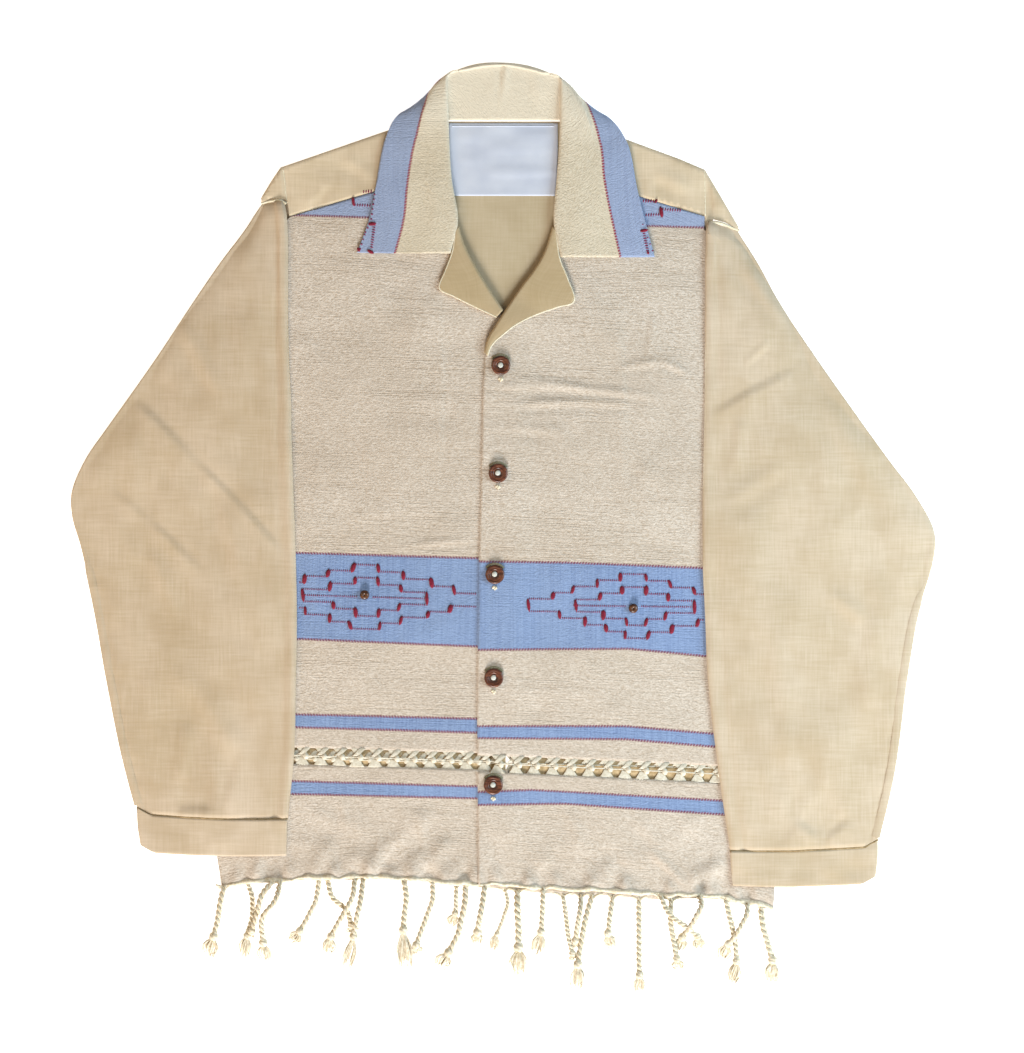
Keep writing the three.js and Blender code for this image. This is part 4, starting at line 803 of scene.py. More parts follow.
def dense_lapel(side, radius, reach, facing):
    return smooth_down(round_across(lapel_grid(side, radius, reach, facing), 1.6), 1.8)


def make_front(side):
    grids = front_grids(side)
    shells = [blanket_shell(grid, straight_height(side, grid[..., 0], grid[..., 1])) for grid in grids]
    fold = dense_lapel(side, LAYER / 2, LAPEL_SHOWS, False)
    plain_part = np.full(fold.shape[:2] + (2,), 200.0)  # a height without a stripe
    shells.append(cloth_shell(fold, LAPEL_WALL, along=plain_part))
    node = f"front_{WEARER[side]}"
    obj = join_shells(f"{node}_cloth", shells)
    finish_cloth(obj, blanket_front, node, "blanket_cloth", cut_of(*grids))


def make_facing(side):
    grid = dense_lapel(side, FACING_RADIUS, 0.0, True)
    x, y = grid[..., 0], grid[..., 1]
    on_top = ramp(grid_normals(grid, False)[..., 2] * -side, 0.6, 0.95)
    grid[..., 2] += 0.25 * soft_noise(x, y, 17, 21) * np.abs(on_top)
    node = f"facing_{WEARER[side]}"
    obj = join_shells(f"{node}_cloth", [cloth_shell(grid, FINE)])
    finish_cloth(obj, facing_cotton, node, "facing_cotton", cut_of(grid))


for side in (-1, 1):
    make_front(side)
    make_facing(side)

# %% [markdown]
# ## The back
# The back is the same cloth in one width. It lies under everything, so it is a flat sheet with
# its own slot for the openwork. Its threads are half a repeat out of step with those of the
# fronts, as they fall on a real shirt, so that little daylight passes through both rows.

# %% Back
BACK_TOP, BACK_SLOPE = 184.7, -0.022
BACK_THREAD = curve([(-270, -213.8), (255, -225.4)])
BACK_HEM_DROP = curve([(-268, 1.5), (-60, 1.5), (-20, 3.0), (60, 6.0), (130, 5.0), (190, 2.0), (254, 1.5)])


def make_back():
    def back_hem(x):
        return HEM(x) - BACK_HEM_DROP(x)

    edges = ((BODY_LEFT, -250.0), (BODY_RIGHT, 250.0))
    below = band_grid(edges, [back_hem, shifted(BACK_THREAD, -SLOT_HALF)], [36], 150)
    above = band_grid(edges, [shifted(BACK_THREAD, SLOT_HALF), level(BACK_TOP)], [110], 150)
    grids = [raised(flat, 0.06 * soft_noise(flat[..., 0], flat[..., 1], 30, 81) + BLANKET / 2 + 0.08)
             for flat in (below, above)]
    shells = [blanket_shell(grid, grid[..., 1] - BACK_SLOPE * grid[..., 0]) for grid in grids]
    obj = join_shells("back_cloth", shells)
    finish_cloth(obj, blanket_back, "back", "blanket_cloth", cut_of(*grids))


make_back()

# %% [markdown]
# ## Sleeves and cuffs
# A sleeve is one sheet rolled into a tube and closed by the underarm seam, then laid flat. Its
# back lies on the floor beside the body and its front edge lies over the body, so the tube steps
# up at the body's side. Old fold lines cross it.

# %% Sleeves, a row for each section from the armhole to the cuff
SLEEVE_COLUMNS = ("out_x", "out_y", "in_x", "in_y", "lift", "open")
SLEEVES = {
    -1: [(-225, 300.5, -203.2, 303, 2.1, 1), (-230, 293.5, -201.3, 295, 4.2, 1),
         (-240, 278, -199.5, 278, 4.2, 1), (-264, 246, -199, 246, 4.2, 1), (-288, 211, -199, 211, 4.2, 1),
         (-323, 158, -198, 158, 4.2, 1), (-361, 104, -196, 104, 4.2, 1), (-371, 90, -196, 90, 4.2, 0),
         (-390, 62, -195, 60, 4.2, 0), (-402.5, 31, -194, 30, 4.2, 0), (-402, 11, -193, 5, 4.2, 0),
         (-394, -17, -192, -28, 4.2, 0), (-383, -68, -191, -77, 4.2, 0), (-370, -142, -192, -147, 4.2, 0),
         (-357, -207, -193.5, -210, 4.2, 0), (-341.5, -260, -199, -270.5, 4.2, 0)],
    1: [(218, 275.5, 188, 284.5, 2.1, 1), (222, 269, 187.3, 276, 4.2, 1), (228, 260, 187, 265, 4.2, 1),
        (238, 244, 186.5, 246, 4.2, 1), (256, 211, 186.5, 211, 4.2, 1), (291, 158, 186, 158, 4.2, 1),
        (329, 104, 185.5, 104, 4.2, 1), (339, 90, 185.3, 90, 4.2, 0), (360, 61, 184.5, 58, 4.2, 0),
        (384, 29, 184, 25, 4.2, 0), (401.5, -6, 184, -12, 4.2, 0), (400, -32, 184.3, -45, 4.2, 0),
        (389, -70, 186, -78, 4.2, 0), (376, -142, 189, -142, 4.2, 0), (366, -216, 198.5, -224, 4.2, 0),
        (348.5, -290, 209.5, -300, 4.2, 0)],
}
SLEEVE_WALL = 1.2
SLEEVE_LOFT = 1.25  # the upper layer never sinks lower than this above the lower one
HAIRPIN, RAMP_RUN, UNDERARM_SEAM = 3.0, 14.0, 22.0
SAG_ACROSS, SAG_MM = (0, 0.09, 0.35, 0.6, 0.85, 1), (0, 6.0, 5.4, 4.3, 1.9, 0)
FLOOR_Z, TOP_Z, LAYER_GAP = SLEEVE_WALL / 2, 2.5, 1.7


def on_section(row, x):
    t = (x - row["out_x"]) / (row["in_x"] - row["out_x"])
    return row["out_y"] * (1 - t) + row["in_y"] * t


def body_edge_x(row, side):
    edge = BODY_LEFT if side < 0 else BODY_RIGHT
    x = float(edge(row["in_y"]))
    for _ in range(4):
        x = float(edge(on_section(row, x)))
    return side * max(side * x, side * row["in_x"] + 5)


def sleeve_sections(side):
    sections = []
    for values in SLEEVES[side]:
        row = dict(zip(SLEEVE_COLUMNS, values))
        edge, out, inner, lift = body_edge_x(row, side), row["out_x"], row["in_x"], row["lift"]
        slope = min(RAMP_RUN, abs(out - edge) * 0.4)
        seam, high = edge + side * UNDERARM_SEAM, lift + LAYER_GAP
        back_end = edge + side * SEAM * 2 if row["open"] else seam + side * SEAM / 2
        front_end = edge if row["open"] else seam - side * SEAM / 2
        shoulder = edge + side * slope * 1.2
        if row["open"]:
            tail = [(edge - side * 1.6, lift), (edge - side * 0.8, lift), (front_end, lift)]
        else:
            tail = [(edge + side * 2.5, lift), (edge + side * RAMP_RUN, FLOOR_Z), (front_end, FLOOR_Z)]
        points = [
            (back_end, FLOOR_Z), ((back_end + out) / 2, FLOOR_Z), (out - side * HAIRPIN, FLOOR_Z),
            (out - side * SLEEVE_WALL / 2, (FLOOR_Z + TOP_Z) / 2), (out - side * HAIRPIN, TOP_Z),
            ((out + shoulder) / 2, min(TOP_Z + 1.1, high - 0.3)), (shoulder, high - 0.6), (edge, high),
            ((edge + inner) / 2, high + 0.2), (inner + side * HAIRPIN, high),
            (inner + side * SLEEVE_WALL / 2, lift + LAYER_GAP / 2), (inner + side * HAIRPIN, lift), *tail]
        sections.append([[x, on_section(row, x), z] for x, z in points])
    return np.array(sections)


def facing_up(grid, ring):
    """1 on the side of a tube that faces up, 0 below."""
    normal = grid_normals(grid, ring)
    outward = 1 if normal[..., 2][grid[..., 2] > np.median(grid[..., 2])].mean() > 0 else -1
    return ramp(normal[..., 2] * outward, 0.5, 0.95)


def sleeve_relief(x, y):
    waves = 1.2 * soft_noise(x * 0.9, y * 0.5, 34, 31) + 0.45 * soft_noise(x, y * 0.6, 15, 32)
    return waves + 0.08 * soft_noise(x, y, 6, 33) + 1.9 * crease_height(x, y, SLEEVE_CREASES)


def beside_edges(grid, side):
    """The seam's groove and puckers by the outer edge, and the flattened strip by the inner fold."""
    x, y = grid[..., 0] * side, grid[..., 1]
    from_outer = x.max(axis=1, keepdims=True) - x
    from_inner = x - x.min(axis=1, keepdims=True)
    below_elbow = ramp(-y, -25, 25)
    groove = -0.45 * np.exp(-((from_outer - 7.5) / 1.3)**2) + 0.25 * np.exp(-((from_outer - 4) / 2.5)**2)
    puckers = 0.4 * np.exp(-((from_outer - 8) / 7)**2) * soft_noise(x * 0.35, y, 7, 35)
    strip = (1.3 if side < 0 else 0.5) * (1 - ramp(from_inner, 7.0, 9.5)) * ramp(from_inner, 0, 3)
    beside = -0.5 * np.exp(-((from_inner - 12) / 4)**2)
    rounding = -1.6 * (1 - below_elbow) * np.exp(-from_outer / 9)
    return below_elbow * (groove + puckers) + strip + beside + rounding


def end_sag(grid, side):
    """How far the end of a sleeve sags between its two folds."""
    x = grid[..., 0] * side
    across = (x.max(axis=1, keepdims=True) - x) / np.ptp(x, axis=1)[:, None]
    sag = np.interp(across, SAG_ACROSS, SAG_MM)
    return sag * ramp(-grid[..., 1], 190, 262)


def make_sleeve(side):
    grid = smooth_down(round_across(sleeve_sections(side), 2.8), 4.1)
    x, y = grid[..., 0], grid[..., 1]
    up = facing_up(grid, False)
    grid[..., 2] += up * (pressed(sleeve_relief(x, y), 1.2) + beside_edges(grid, side))
    grid[..., 2] = np.maximum(grid[..., 2], SLEEVE_WALL / 2 + SLEEVE_LOFT * up)
    grid[..., 1] -= end_sag(grid, side)
    node = f"sleeve_{WEARER[side]}"
    obj = join_shells(f"{node}_cloth", [cloth_shell(grid, SLEEVE_WALL)])
    finish_cloth(obj, sleeve_cotton, node, "sleeve_cotton", cut_of(grid))
    return grid


SLEEVE_GRIDS = {side: make_sleeve(side) for side in (-1, 1)}

# %% Cuffs, closed rings of doubled cotton
CUFF_COLUMNS = ("out_x", "out_y", "in_x", "in_y")
CUFFS = {
    -1: [(-341.5, -260.9, -200, -271.4), (-341, -276, -200.3, -287), (-338, -296, -200.8, -305)],
    1: [(348.5, -290.9, 209.5, -300.9), (348.5, -306, 210.5, -317), (346.5, -325, 212, -333)],
}
CUFF_WALL, CUFF_LAYER = 1.6, 2.2
CUFF_FLOOR, CUFF_LIFT = CUFF_WALL / 2, FRONT_Z + BLANKET / 2 + SEAM + CUFF_WALL / 2


def make_cuff(side):
    sections = []
    for values in CUFFS[side]:
        row = dict(zip(CUFF_COLUMNS, values))
        edge, out, inner = body_edge_x(row, side), row["out_x"], row["in_x"]
        points = [
            (out - side * CUFF_WALL / 2, CUFF_FLOOR + CUFF_LAYER / 2), (out - side * HAIRPIN, CUFF_FLOOR),
            (edge + side * RAMP_RUN, CUFF_FLOOR), (edge + side * 2.5, CUFF_LIFT),
            (inner + side * HAIRPIN, CUFF_LIFT), (inner + side * CUFF_WALL / 2, CUFF_LIFT + CUFF_LAYER / 2),
            (inner + side * HAIRPIN, CUFF_LIFT + CUFF_LAYER), (edge, CUFF_LIFT + CUFF_LAYER),
            (edge + side * RAMP_RUN * 1.3, CUFF_LIFT + CUFF_LAYER - 0.9),
            ((out + edge) / 2 + side * RAMP_RUN * 0.6, CUFF_FLOOR + CUFF_LAYER + 1),
            (out - side * HAIRPIN, CUFF_FLOOR + CUFF_LAYER)]
        sections.append([[x, on_section(row, x), z] for x, z in points])
    grid = smooth_down(round_across(np.array(sections), 2.5, ring=True), 2.0)
    x, y = grid[..., 0], grid[..., 1]
    grid[..., 2] += facing_up(grid, True) * 0.55 * soft_noise(x * 0.6, y, 13, 41)
    grid[..., 1] -= end_sag(grid, side)
    node = f"cuff_{WEARER[side]}"
    obj = join_shells(f"{node}_cloth", [cloth_shell(grid, CUFF_WALL, ring=True)])
    ring_steps = np.linalg.norm(np.diff(np.concatenate([grid, grid[:, :1]], axis=1), axis=1), axis=2)
    around = ring_steps.sum(axis=1).max() * MM
    deep = np.linalg.norm(grid[-1] - grid[0], axis=1).max() * MM
    cut = (around, deep, 0.97 * around * deep)
    finish_cloth(obj, sleeve_cotton, node, "sleeve_cotton", cut)


for side in (-1, 1):
    make_cuff(side)

# %% [markdown]
# ## Collar
# A collar is one strip: it rises from the neck seam, rolls over, and falls to its outer edge. At
# the back it stands in view and its fall lies beneath; at the front the fall lies open. The table
# gives each section's seam, roll, silhouette and edge, with their heights.

# %% Collar
COLLAR_COLUMNS = ("seam", "roll", "shoulder", "edge", "roll_r", "fold_r", "stripe")
COLLAR_LEFT = [
    ((-55.3, 253.9, 5.6), (-50.2, 253.9, 6.6), (-96.3, 253.9, 6.2), (-136.2, 254.8, 4.9), 1.2, 0.05, 35.5),
    ((-50.7, 282.7, 5.6), (-43.2, 282.7, 6.6), (-87, 282.7, 6.6), (-126, 282.7, 4.9), 1.2, 0.05, 33.0),
    ((-60, 322.7, 5.2), (-48.8, 322.7, 6.4), (-85.1, 320.9, 6.8), (-118.6, 317.1, 4.9), 1.2, 0.05, 31.0),
    ((-64.6, 357.3, 4.8), (-51.2, 359.9, 6.4), (-79.5, 360.8, 7.0), (-109.3, 361.8, 5.0), 1.2, 0.05, 29.0),
    ((-61.8, 371.1, 3.6), (-52.1, 387.8, 6.4), (-73.9, 389.7, 7.0), (-98.1, 382.3, 3.6), 1.2, 1.0, 28.0),
    ((-57.2, 377.5, 2.6), (-52.5, 404.6, 6.2), (-66.5, 406.4, 4.6), (-85.1, 388, 1.3), 1.2, 1.4, 26.0),
    ((-51.6, 377.8, 2.2), (-52.1, 418.5, 5.6), (-58.1, 415.7, 3.4), (-62.9, 393.4, 1.3), 1.1, 1.2, 24.0),
    ((-33, 377.8, 2.0), (-33, 425, 4.8), (-33, 427.3, 3.4), (-33, 391.7, 1.3), 1.0, 1.0, 24.0),
    ((0, 377.8, 2.0), (0, 428.7, 4.6), (0, 430.6, 3.2), (0, 388, 1.3), 1.0, 1.0, 24.0),
]
COLLAR_RIGHT = [
    ((0, 377.8, 2.0), (4, 428.7, 4.6), (4, 430.4, 3.2), (0, 388, 1.3), 1.0, 1.0, 24.0),
    ((33, 377.8, 2.0), (34, 422, 4.8), (34, 424.5, 3.4), (33, 389.7, 1.3), 1.0, 1.0, 24.0),
    ((51.6, 377.8, 2.2), (53.1, 415.5, 5.6), (59, 412, 3.4), (62.9, 390.4, 1.3), 1.1, 1.2, 15.0),
    ((57.2, 377.5, 2.6), (53.5, 400.6, 6.2), (68, 402, 4.6), (86, 385, 1.3), 1.2, 1.4, 18.0),
    ((62, 369, 3.6), (53.5, 384.8, 6.4), (76, 386, 7.0), (99, 379, 3.6), 1.2, 1.0, 24.5),
    ((66, 353, 4.8), (52.6, 356.9, 6.4), (84, 357.8, 7.0), (114, 358.8, 5.0), 1.2, 0.05, 29.0),
    ((61, 318.7, 5.2), (49.8, 318.7, 6.4), (88, 316.9, 6.8), (124.5, 313.1, 4.9), 1.2, 0.05, 31.0),
    ((54, 282.7, 5.6), (47.5, 282.7, 6.6), (92, 281.7, 6.6), (133, 279, 4.9), 1.2, 0.05, 31.5),
    ((59, 250.3, 5.6), (54, 250.3, 6.6), (98, 250.3, 6.2), (140.5, 250.6, 4.9), 1.2, 0.05, 32.0),
]


def collar_sections():
    sections, stripes = [], []
    for values in COLLAR_LEFT + COLLAR_RIGHT[1:]:
        row = dict(zip(COLLAR_COLUMNS, values))
        seam, roll, shoulder, edge = (np.array(row[k], float) for k in ("seam", "roll", "shoulder", "edge"))
        roll_up, fold_up = UP * row["roll_r"], UP * row["fold_r"]
        before = seam * 0.5 + (roll - roll_up) * 0.5
        after = roll * 0.5 + shoulder * 0.5 + roll_up * 0.6 + fold_up * 0.4
        end = edge * 0.55 + shoulder * 0.45 - fold_up * 0.6
        sections.append([seam, before, roll - roll_up, roll + roll_up, after,
                         shoulder + fold_up, shoulder - fold_up, end, edge])
        stripes.append(row["stripe"])
    return np.array(sections), np.array(stripes)


COLLAR_WALL = 2.0


def make_collar():
    sections, stripe_widths = collar_sections()
    grid = smooth_down(round_across(sections, 2.2), 2.6)
    x, y = grid[..., 0], grid[..., 1]
    up = ramp(np.abs(grid_normals(grid, False)[..., 2]), 0.5, 0.95) * ramp(grid[..., 2], 2.2, 3.6)
    waves = 0.35 * soft_noise(x, y, 24, 51) + 0.15 * soft_noise(x, y, 9, 52)
    grid[..., 2] += up * (waves + crease_height(x, y, COLLAR_CREASES))
    grid[..., 2] = np.maximum(grid[..., 2], COLLAR_WALL / 2 + ON_TABLE)

    # The stripe lies inside the outer edge, as wide as the table says at each section
    from_edge = run_along(grid[:, ::-1])[:, ::-1]
    share, shares = np.linspace(0, 1, len(grid)), np.linspace(0, 1, len(stripe_widths))
    inside_stripe = np.interp(share, shares, stripe_widths)[:, None] - from_edge
    along = np.broadcast_to(run_along(grid[:, -1])[:, None], from_edge.shape)
    pattern = np.stack([along, inside_stripe], -1)
    obj = join_shells("collar_cloth", [cloth_shell(grid, COLLAR_WALL, along=pattern)])
    finish_cloth(obj, blanket_collar, "collar", "collar_cloth", cut_of(grid))


make_collar()

# %% [markdown]
# ## Yoke and label
# The yoke is folded over both shoulders with the neck cut out, and lies flat. Its solid's own
# shape is kept and only refined: a copy is cut into small faces and gets soft waves. The label
# stays bare satin.

# %% Yoke, a refined copy of its solid


def refined(node, name, longest, waves, only_above=0.0):
    """A finer copy of a node's mesh, lifted by waves(x, y) where it lies above a height."""
    mesh = bmesh.new()
    mesh.from_mesh(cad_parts[node].data)
    bmesh.ops.remove_doubles(mesh, verts=mesh.verts, dist=1e-6)
    for _ in range(9):
        long_edges = [e for e in mesh.edges if e.calc_length() > longest * MM]
        if not long_edges:
            break
        bmesh.ops.subdivide_edges(mesh, edges=long_edges, cuts=1)
        bmesh.ops.triangulate(mesh, faces=mesh.faces)
    for vertex in mesh.verts:
        z = vertex.co.z / MM
        if z >= only_above:
            x, y = vertex.co.x / MM - SHIFT[0], vertex.co.y / MM - SHIFT[1]
            vertex.co.z += float(waves(np.float64(x), np.float64(y))) * MM
    copy = bpy.data.meshes.new(name)
    mesh.to_mesh(copy)
    mesh.free()
    copy.shade_smooth()
    copy.set_sharp_from_angle(angle=math.radians(40))
    return in_scene(name, copy)


def yoke_waves(x, y):
    near_seam = np.exp(-((y - 300) / 30)**2)
    waves = 0.4 * soft_noise(x, y, 26, 61) + 0.3 * near_seam * soft_noise(x, y * 0.4, 9, 62)
    return waves + 1.6 * crease_height(x, y, YOKE_CREASES)


def make_yoke():
    obj = refined("yoke", "yoke_cloth", 5.8, yoke_waves, only_above=1.7)
    low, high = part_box("yoke")
    area = sum(face.area for face in obj.data.polygons) / 2  # half the surface of a thin wall
    width = high.x - low.x
    length = max(high.y - low.y, area / width)
    finish_cloth(obj, yoke_cotton, "yoke", "fine_cotton", (width, length, area))


make_yoke()

# %% Label
LABEL_CORNERS = [  # y of a row, and x of its two ends
    (307.8, -50.2, 48.4), (320, -50.8, 49.4), (334, -51.2, 50.0), (346, -51.4, 50.4), (375.6, -51.4, 50.4)]
label_rows = []
for y_row, x_left, x_right in LABEL_CORNERS:
    label_rows.append([[x, y_row, FINE + SEAM + 0.5] for x in np.linspace(x_left, x_right, 6)])
label_grid = smooth_down(round_across(np.array(label_rows), 2.0), 2.0)
x, y = label_grid[..., 0], label_grid[..., 1]
label_grid[..., 2] += 0.45 * ramp(soft_noise(x * 0.35, y, 11, 71), -0.4, 0.9)
label_cloth = join_shells("label_cloth", [cloth_shell(label_grid, 0.9)])
finish_cloth(label_cloth, label_satin, "label", "label_satin", cut_of(label_grid))

# %% [markdown]
# ## Buttons and beads
# Each button is turned from a slice of dark wood: a round rim, a groove, a raised ring and a
# hollow whose hole is filled by the white thread. A lathe profile gives the whole form.

# %% Turned pieces


def ring_faces(rings, sides):
    """Faces of a closed skin over rings of corners, with one more corner at each of its ends."""
    faces = []
    for i in range(rings - 1):
        for j in range(sides):
            k = (j + 1) % sides
            faces.append([i * sides + j, i * sides + k, (i + 1) * sides + k, (i + 1) * sides + j])
    low, high, last = rings * sides, rings * sides + 1, (rings - 1) * sides
    faces += [[low, (j + 1) % sides, j] for j in range(sides)]
    faces += [[high, last + j, last + (j + 1) % sides] for j in range(sides)]
    return faces


def lathe(profile, centre, steps=48):
    """Corners and faces of a profile of (radius, height) turned about a vertical axis."""
    angles = np.linspace(0, 2 * np.pi, steps, endpoint=False)
    points = [[r * math.cos(a), r * math.sin(a), z] for r, z in profile[1:-1] for a in angles]
    points += [[0, 0, profile[0][1]], [0, 0, profile[-1][1]]]
    return np.array(points, float) + centre, ring_faces(len(profile) - 2, steps)


BUTTON_PROFILE = [(0, 0), (5.6, 0.0), (7.6, 0.35), (8.6, 1.1), (8.9, 2.0), (8.6, 2.9), (7.9, 3.45),
                  (7.1, 3.6), (6.4, 3.4), (6.0, 3.15), (5.6, 3.2), (5.2, 3.35), (4.7, 3.3), (4.2, 2.9),
                  (3.7, 2.2), (3.2, 1.8), (2.4, 1.7), (0, 1.7)]
THREAD_PROFILE = [(0, 1.75), (2.2, 1.8), (2.5, 2.3), (2.2, 2.8), (1.4, 3.1), (0, 3.2)]
BEAD_PROFILE = [(0, 0), (2.4, 0.1), (3.9, 0.9), (4.4, 2.0), (4.1, 3.1), (3.1, 3.9), (1.9, 4.3), (1.3, 4.2),
                (0.9, 3.6), (0, 3.4)]
BUTTONS = [(-2.5, 150), (-5, 50), (-8, -44), (-9, -140), (-9.5, -239.5)]
BEADS = {"right": (-129, -63), "left": (120.5, -75.5)}


def place_turned(name, profile, spot, material, node, slot):
    points, faces = lathe(profile, spot)
    dress(make_object(name, points, faces, smooth_angle=50), material, slot, node)


def seat_of(node):
    """The height of a solid's underside, in millimetres."""
    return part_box(node)[0].z / MM


for number, (x, y) in enumerate(BUTTONS, 1):
    node = f"button_{number}"
    seat = seat_of(node)
    place_turned(f"{node}_turned", BUTTON_PROFILE, (x, y, seat), button_wood, node, "button_wood")
    hole = (x - 0.3, y + 0.3, seat)  # the thread never fills it quite in the middle
    place_turned(f"{node}_thread", THREAD_PROFILE, hole, white_thread, None, "fringe_cord")
for wearer, (x, y) in BEADS.items():
    node = f"bead_{wearer}"
    place_turned(f"{node}_turned", BEAD_PROFILE, (x, y, seat_of(node)), bead_wood, node, "bead_wood")
print(len(BUTTONS), "buttons and", len(BEADS), "beads")

# %% [markdown]
# ## Thread work
# Openwork is made on the loom's beam: the weft is left out of a band, the bare warp threads are
# gathered into bundles, and a middle thread knots them in pairs. Embroidery and seams are
# stitches, one like the next. Each stitch is modelled once, small and light, and Geometry Nodes
# sets copies of it on points that carry their own turn and size. The result becomes plain mesh.

# %% Where the upper surface is


def top_of(*names):
    """A function that gives the height in millimetres of the highest of these pieces at x, y."""
    bpy.context.view_layer.update()
    depsgraph = bpy.context.evaluated_depsgraph_get()
    trees = [BVHTree.FromObject(bpy.data.objects[name], depsgraph) for name in names]

    def height(x, y, missing=0.0):
        start = Vector(((x + SHIFT[0]) * MM, (y + SHIFT[1]) * MM, 0.1))
        hits = [tree.ray_cast(start, Vector((0, 0, -1)))[0] for tree in trees]
        found = [hit.z / MM for hit in hits if hit is not None]
        return max(found) if found else missing

    return height


fronts_top = top_of("front_right_cloth", "front_left_cloth")
print("the right front's upper side is at", round(fronts_top(-100, 50), 2), "mm")

# %% One stitch on every point


def stitch_tree():
    """Sets a stitch on each point; turn and size are the points' own attributes."""
    tree = bpy.data.node_groups.new("stitch_on_points", "GeometryNodeTree")
    for name, kind in (("Geometry", "NodeSocketGeometry"), ("Stitch", "NodeSocketObject"),
                       ("Thread", "NodeSocketMaterial"), ("Unevenness", "NodeSocketFloat"),
                       ("Seed", "NodeSocketInt")):
        tree.interface.new_socket(name=name, in_out="INPUT", socket_type=kind)
    tree.interface.new_socket(name="Geometry", in_out="OUTPUT", socket_type="NodeSocketGeometry")
    given = add(tree, "NodeGroupInput").outputs
    turn = add(tree, "GeometryNodeInputNamedAttribute", named={"Name": "turn"}, data_type="FLOAT_VECTOR")
    size = add(tree, "GeometryNodeInputNamedAttribute", named={"Name": "size"}, data_type="FLOAT_VECTOR")
    least = add(tree, MATH, 1.0, given["Unevenness"], operation="SUBTRACT")
    most = add(tree, MATH, 1.0, given["Unevenness"], operation="ADD")
    seed = {"Seed": given["Seed"]}
    uneven = add(tree, "FunctionNodeRandomValue", least, most, named=seed, data_type="FLOAT")
    scale = add(tree, "ShaderNodeVectorMath", size, named={"Scale": uneven}, operation="SCALE")
    stitch = add(tree, "GeometryNodeObjectInfo", named={"Object": given["Stitch"]})
    copies = add(tree, "GeometryNodeInstanceOnPoints", named={
        "Points": given["Geometry"], "Instance": stitch.outputs["Geometry"],
        "Rotation": turn, "Scale": scale})
    real = add(tree, "GeometryNodeRealizeInstances", copies)
    threaded = add(tree, "GeometryNodeSetMaterial", named={"Geometry": real, "Material": given["Thread"]})
    add(tree, "NodeGroupOutput", threaded)
    return tree


STITCH_TREE = stitch_tree()


def sew(name, stitch, places, thread, uneven=0.08, seed=1):
    """A mesh with one stitch on each place (x, y, z, turn about z, size x, y, z), in mm."""
    places = np.array(places, float)
    mesh = bpy.data.meshes.new(name)
    mesh.from_pydata(((places[:, :3] + SHIFT) * MM).tolist(), [], [])
    turns = places[:, 3:4] * UP
    for attribute, values in (("turn", turns), ("size", places[:, 4:7])):
        layer = mesh.attributes.new(attribute, "FLOAT_VECTOR", "POINT")
        layer.data.foreach_set("vector", values.ravel())
    obj = in_scene(name, mesh)
    modifier = obj.modifiers.new("stitches", "NODES")
    modifier.node_group = STITCH_TREE
    given = {"Stitch": stitch, "Thread": thread, "Unevenness": uneven, "Seed": seed}
    for item in STITCH_TREE.interface.items_tree:
        if item.in_out == "INPUT" and item.name in given:
            modifier[item.identifier] = given[item.name]
    bpy.context.view_layer.update()
    evaluated = obj.evaluated_get(bpy.context.evaluated_depsgraph_get())
    plain = bpy.data.meshes.new_from_object(evaluated)
    obj.modifiers.clear()
    obj.data = plain
    plain.shade_smooth()
    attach(obj, "root")
    print(name, "has", len(places), "stitches and", len(plain.polygons), "faces")


def tube(points, radii, sides=6, flat=1.0):
    """Corners and faces of a closed thread along points, thinner in height by flat."""
    points = np.array(points, float)
    radii = np.broadcast_to(np.asarray(radii, float), (len(points),))
    run = unit(np.gradient(points, axis=0))
    across = unit(np.cross(run, UP + 1e-6))
    upward = np.cross(across, run)
    angles = np.linspace(0, 2 * np.pi, sides, endpoint=False)
    ring = (across[:, None] * np.cos(angles)[None, :, None]
            + upward[:, None] * np.sin(angles)[None, :, None] * flat)
    corners = (points[:, None] + ring * radii[:, None, None]).reshape(-1, 3)
    corners = np.concatenate([corners, points[:1], points[-1:]])
    return corners, ring_faces(len(points), sides)


def joined(parts):
    """Corners and faces of several closed parts as one list of each."""
    corners, faces, start = [], [], 0
    for part_corners, part_faces in parts:
        corners.append(part_corners)
        faces += [[index + start for index in face] for face in part_faces]
        start += len(part_corners)
    return np.concatenate(corners), faces


def bundle(name, threads):
    """An object from several closed threads, in metres round the origin, to be copied."""
    corners, faces = joined(threads)
    mesh = bpy.data.meshes.new(name)
    mesh.from_pydata((corners * MM).tolist(), [], faces)
    mesh.update()
    turn_outward(mesh)
    mesh.shade_smooth()
    return in_scene(name, mesh)


def bow(start, end, lift, count=6):
    """Points from start to end that rise by lift in the middle."""
    t = np.linspace(0, 1, count)[:, None]
    start, end = np.array(start, float), np.array(end, float)
    return start * (1 - t) + end * t + np.array([0, 0, lift]) * np.sin(np.pi * t)


# One knot is a lens of wound thread, 1 mm long, wide and high before its size is set.
lens = np.linspace(-0.5, 0.5, 7)
KNOT = bundle("knot_pattern", [tube(np.stack([lens, 0 * lens, 0 * lens], -1),
                                    0.5 * np.sqrt(np.maximum(1 - (2 * lens)**2, 0.02)), 8)])
print("a stitch has", len(KNOT.data.polygons), "faces")

# %% Openwork
PITCH = 16.9  # from one bundle to the next


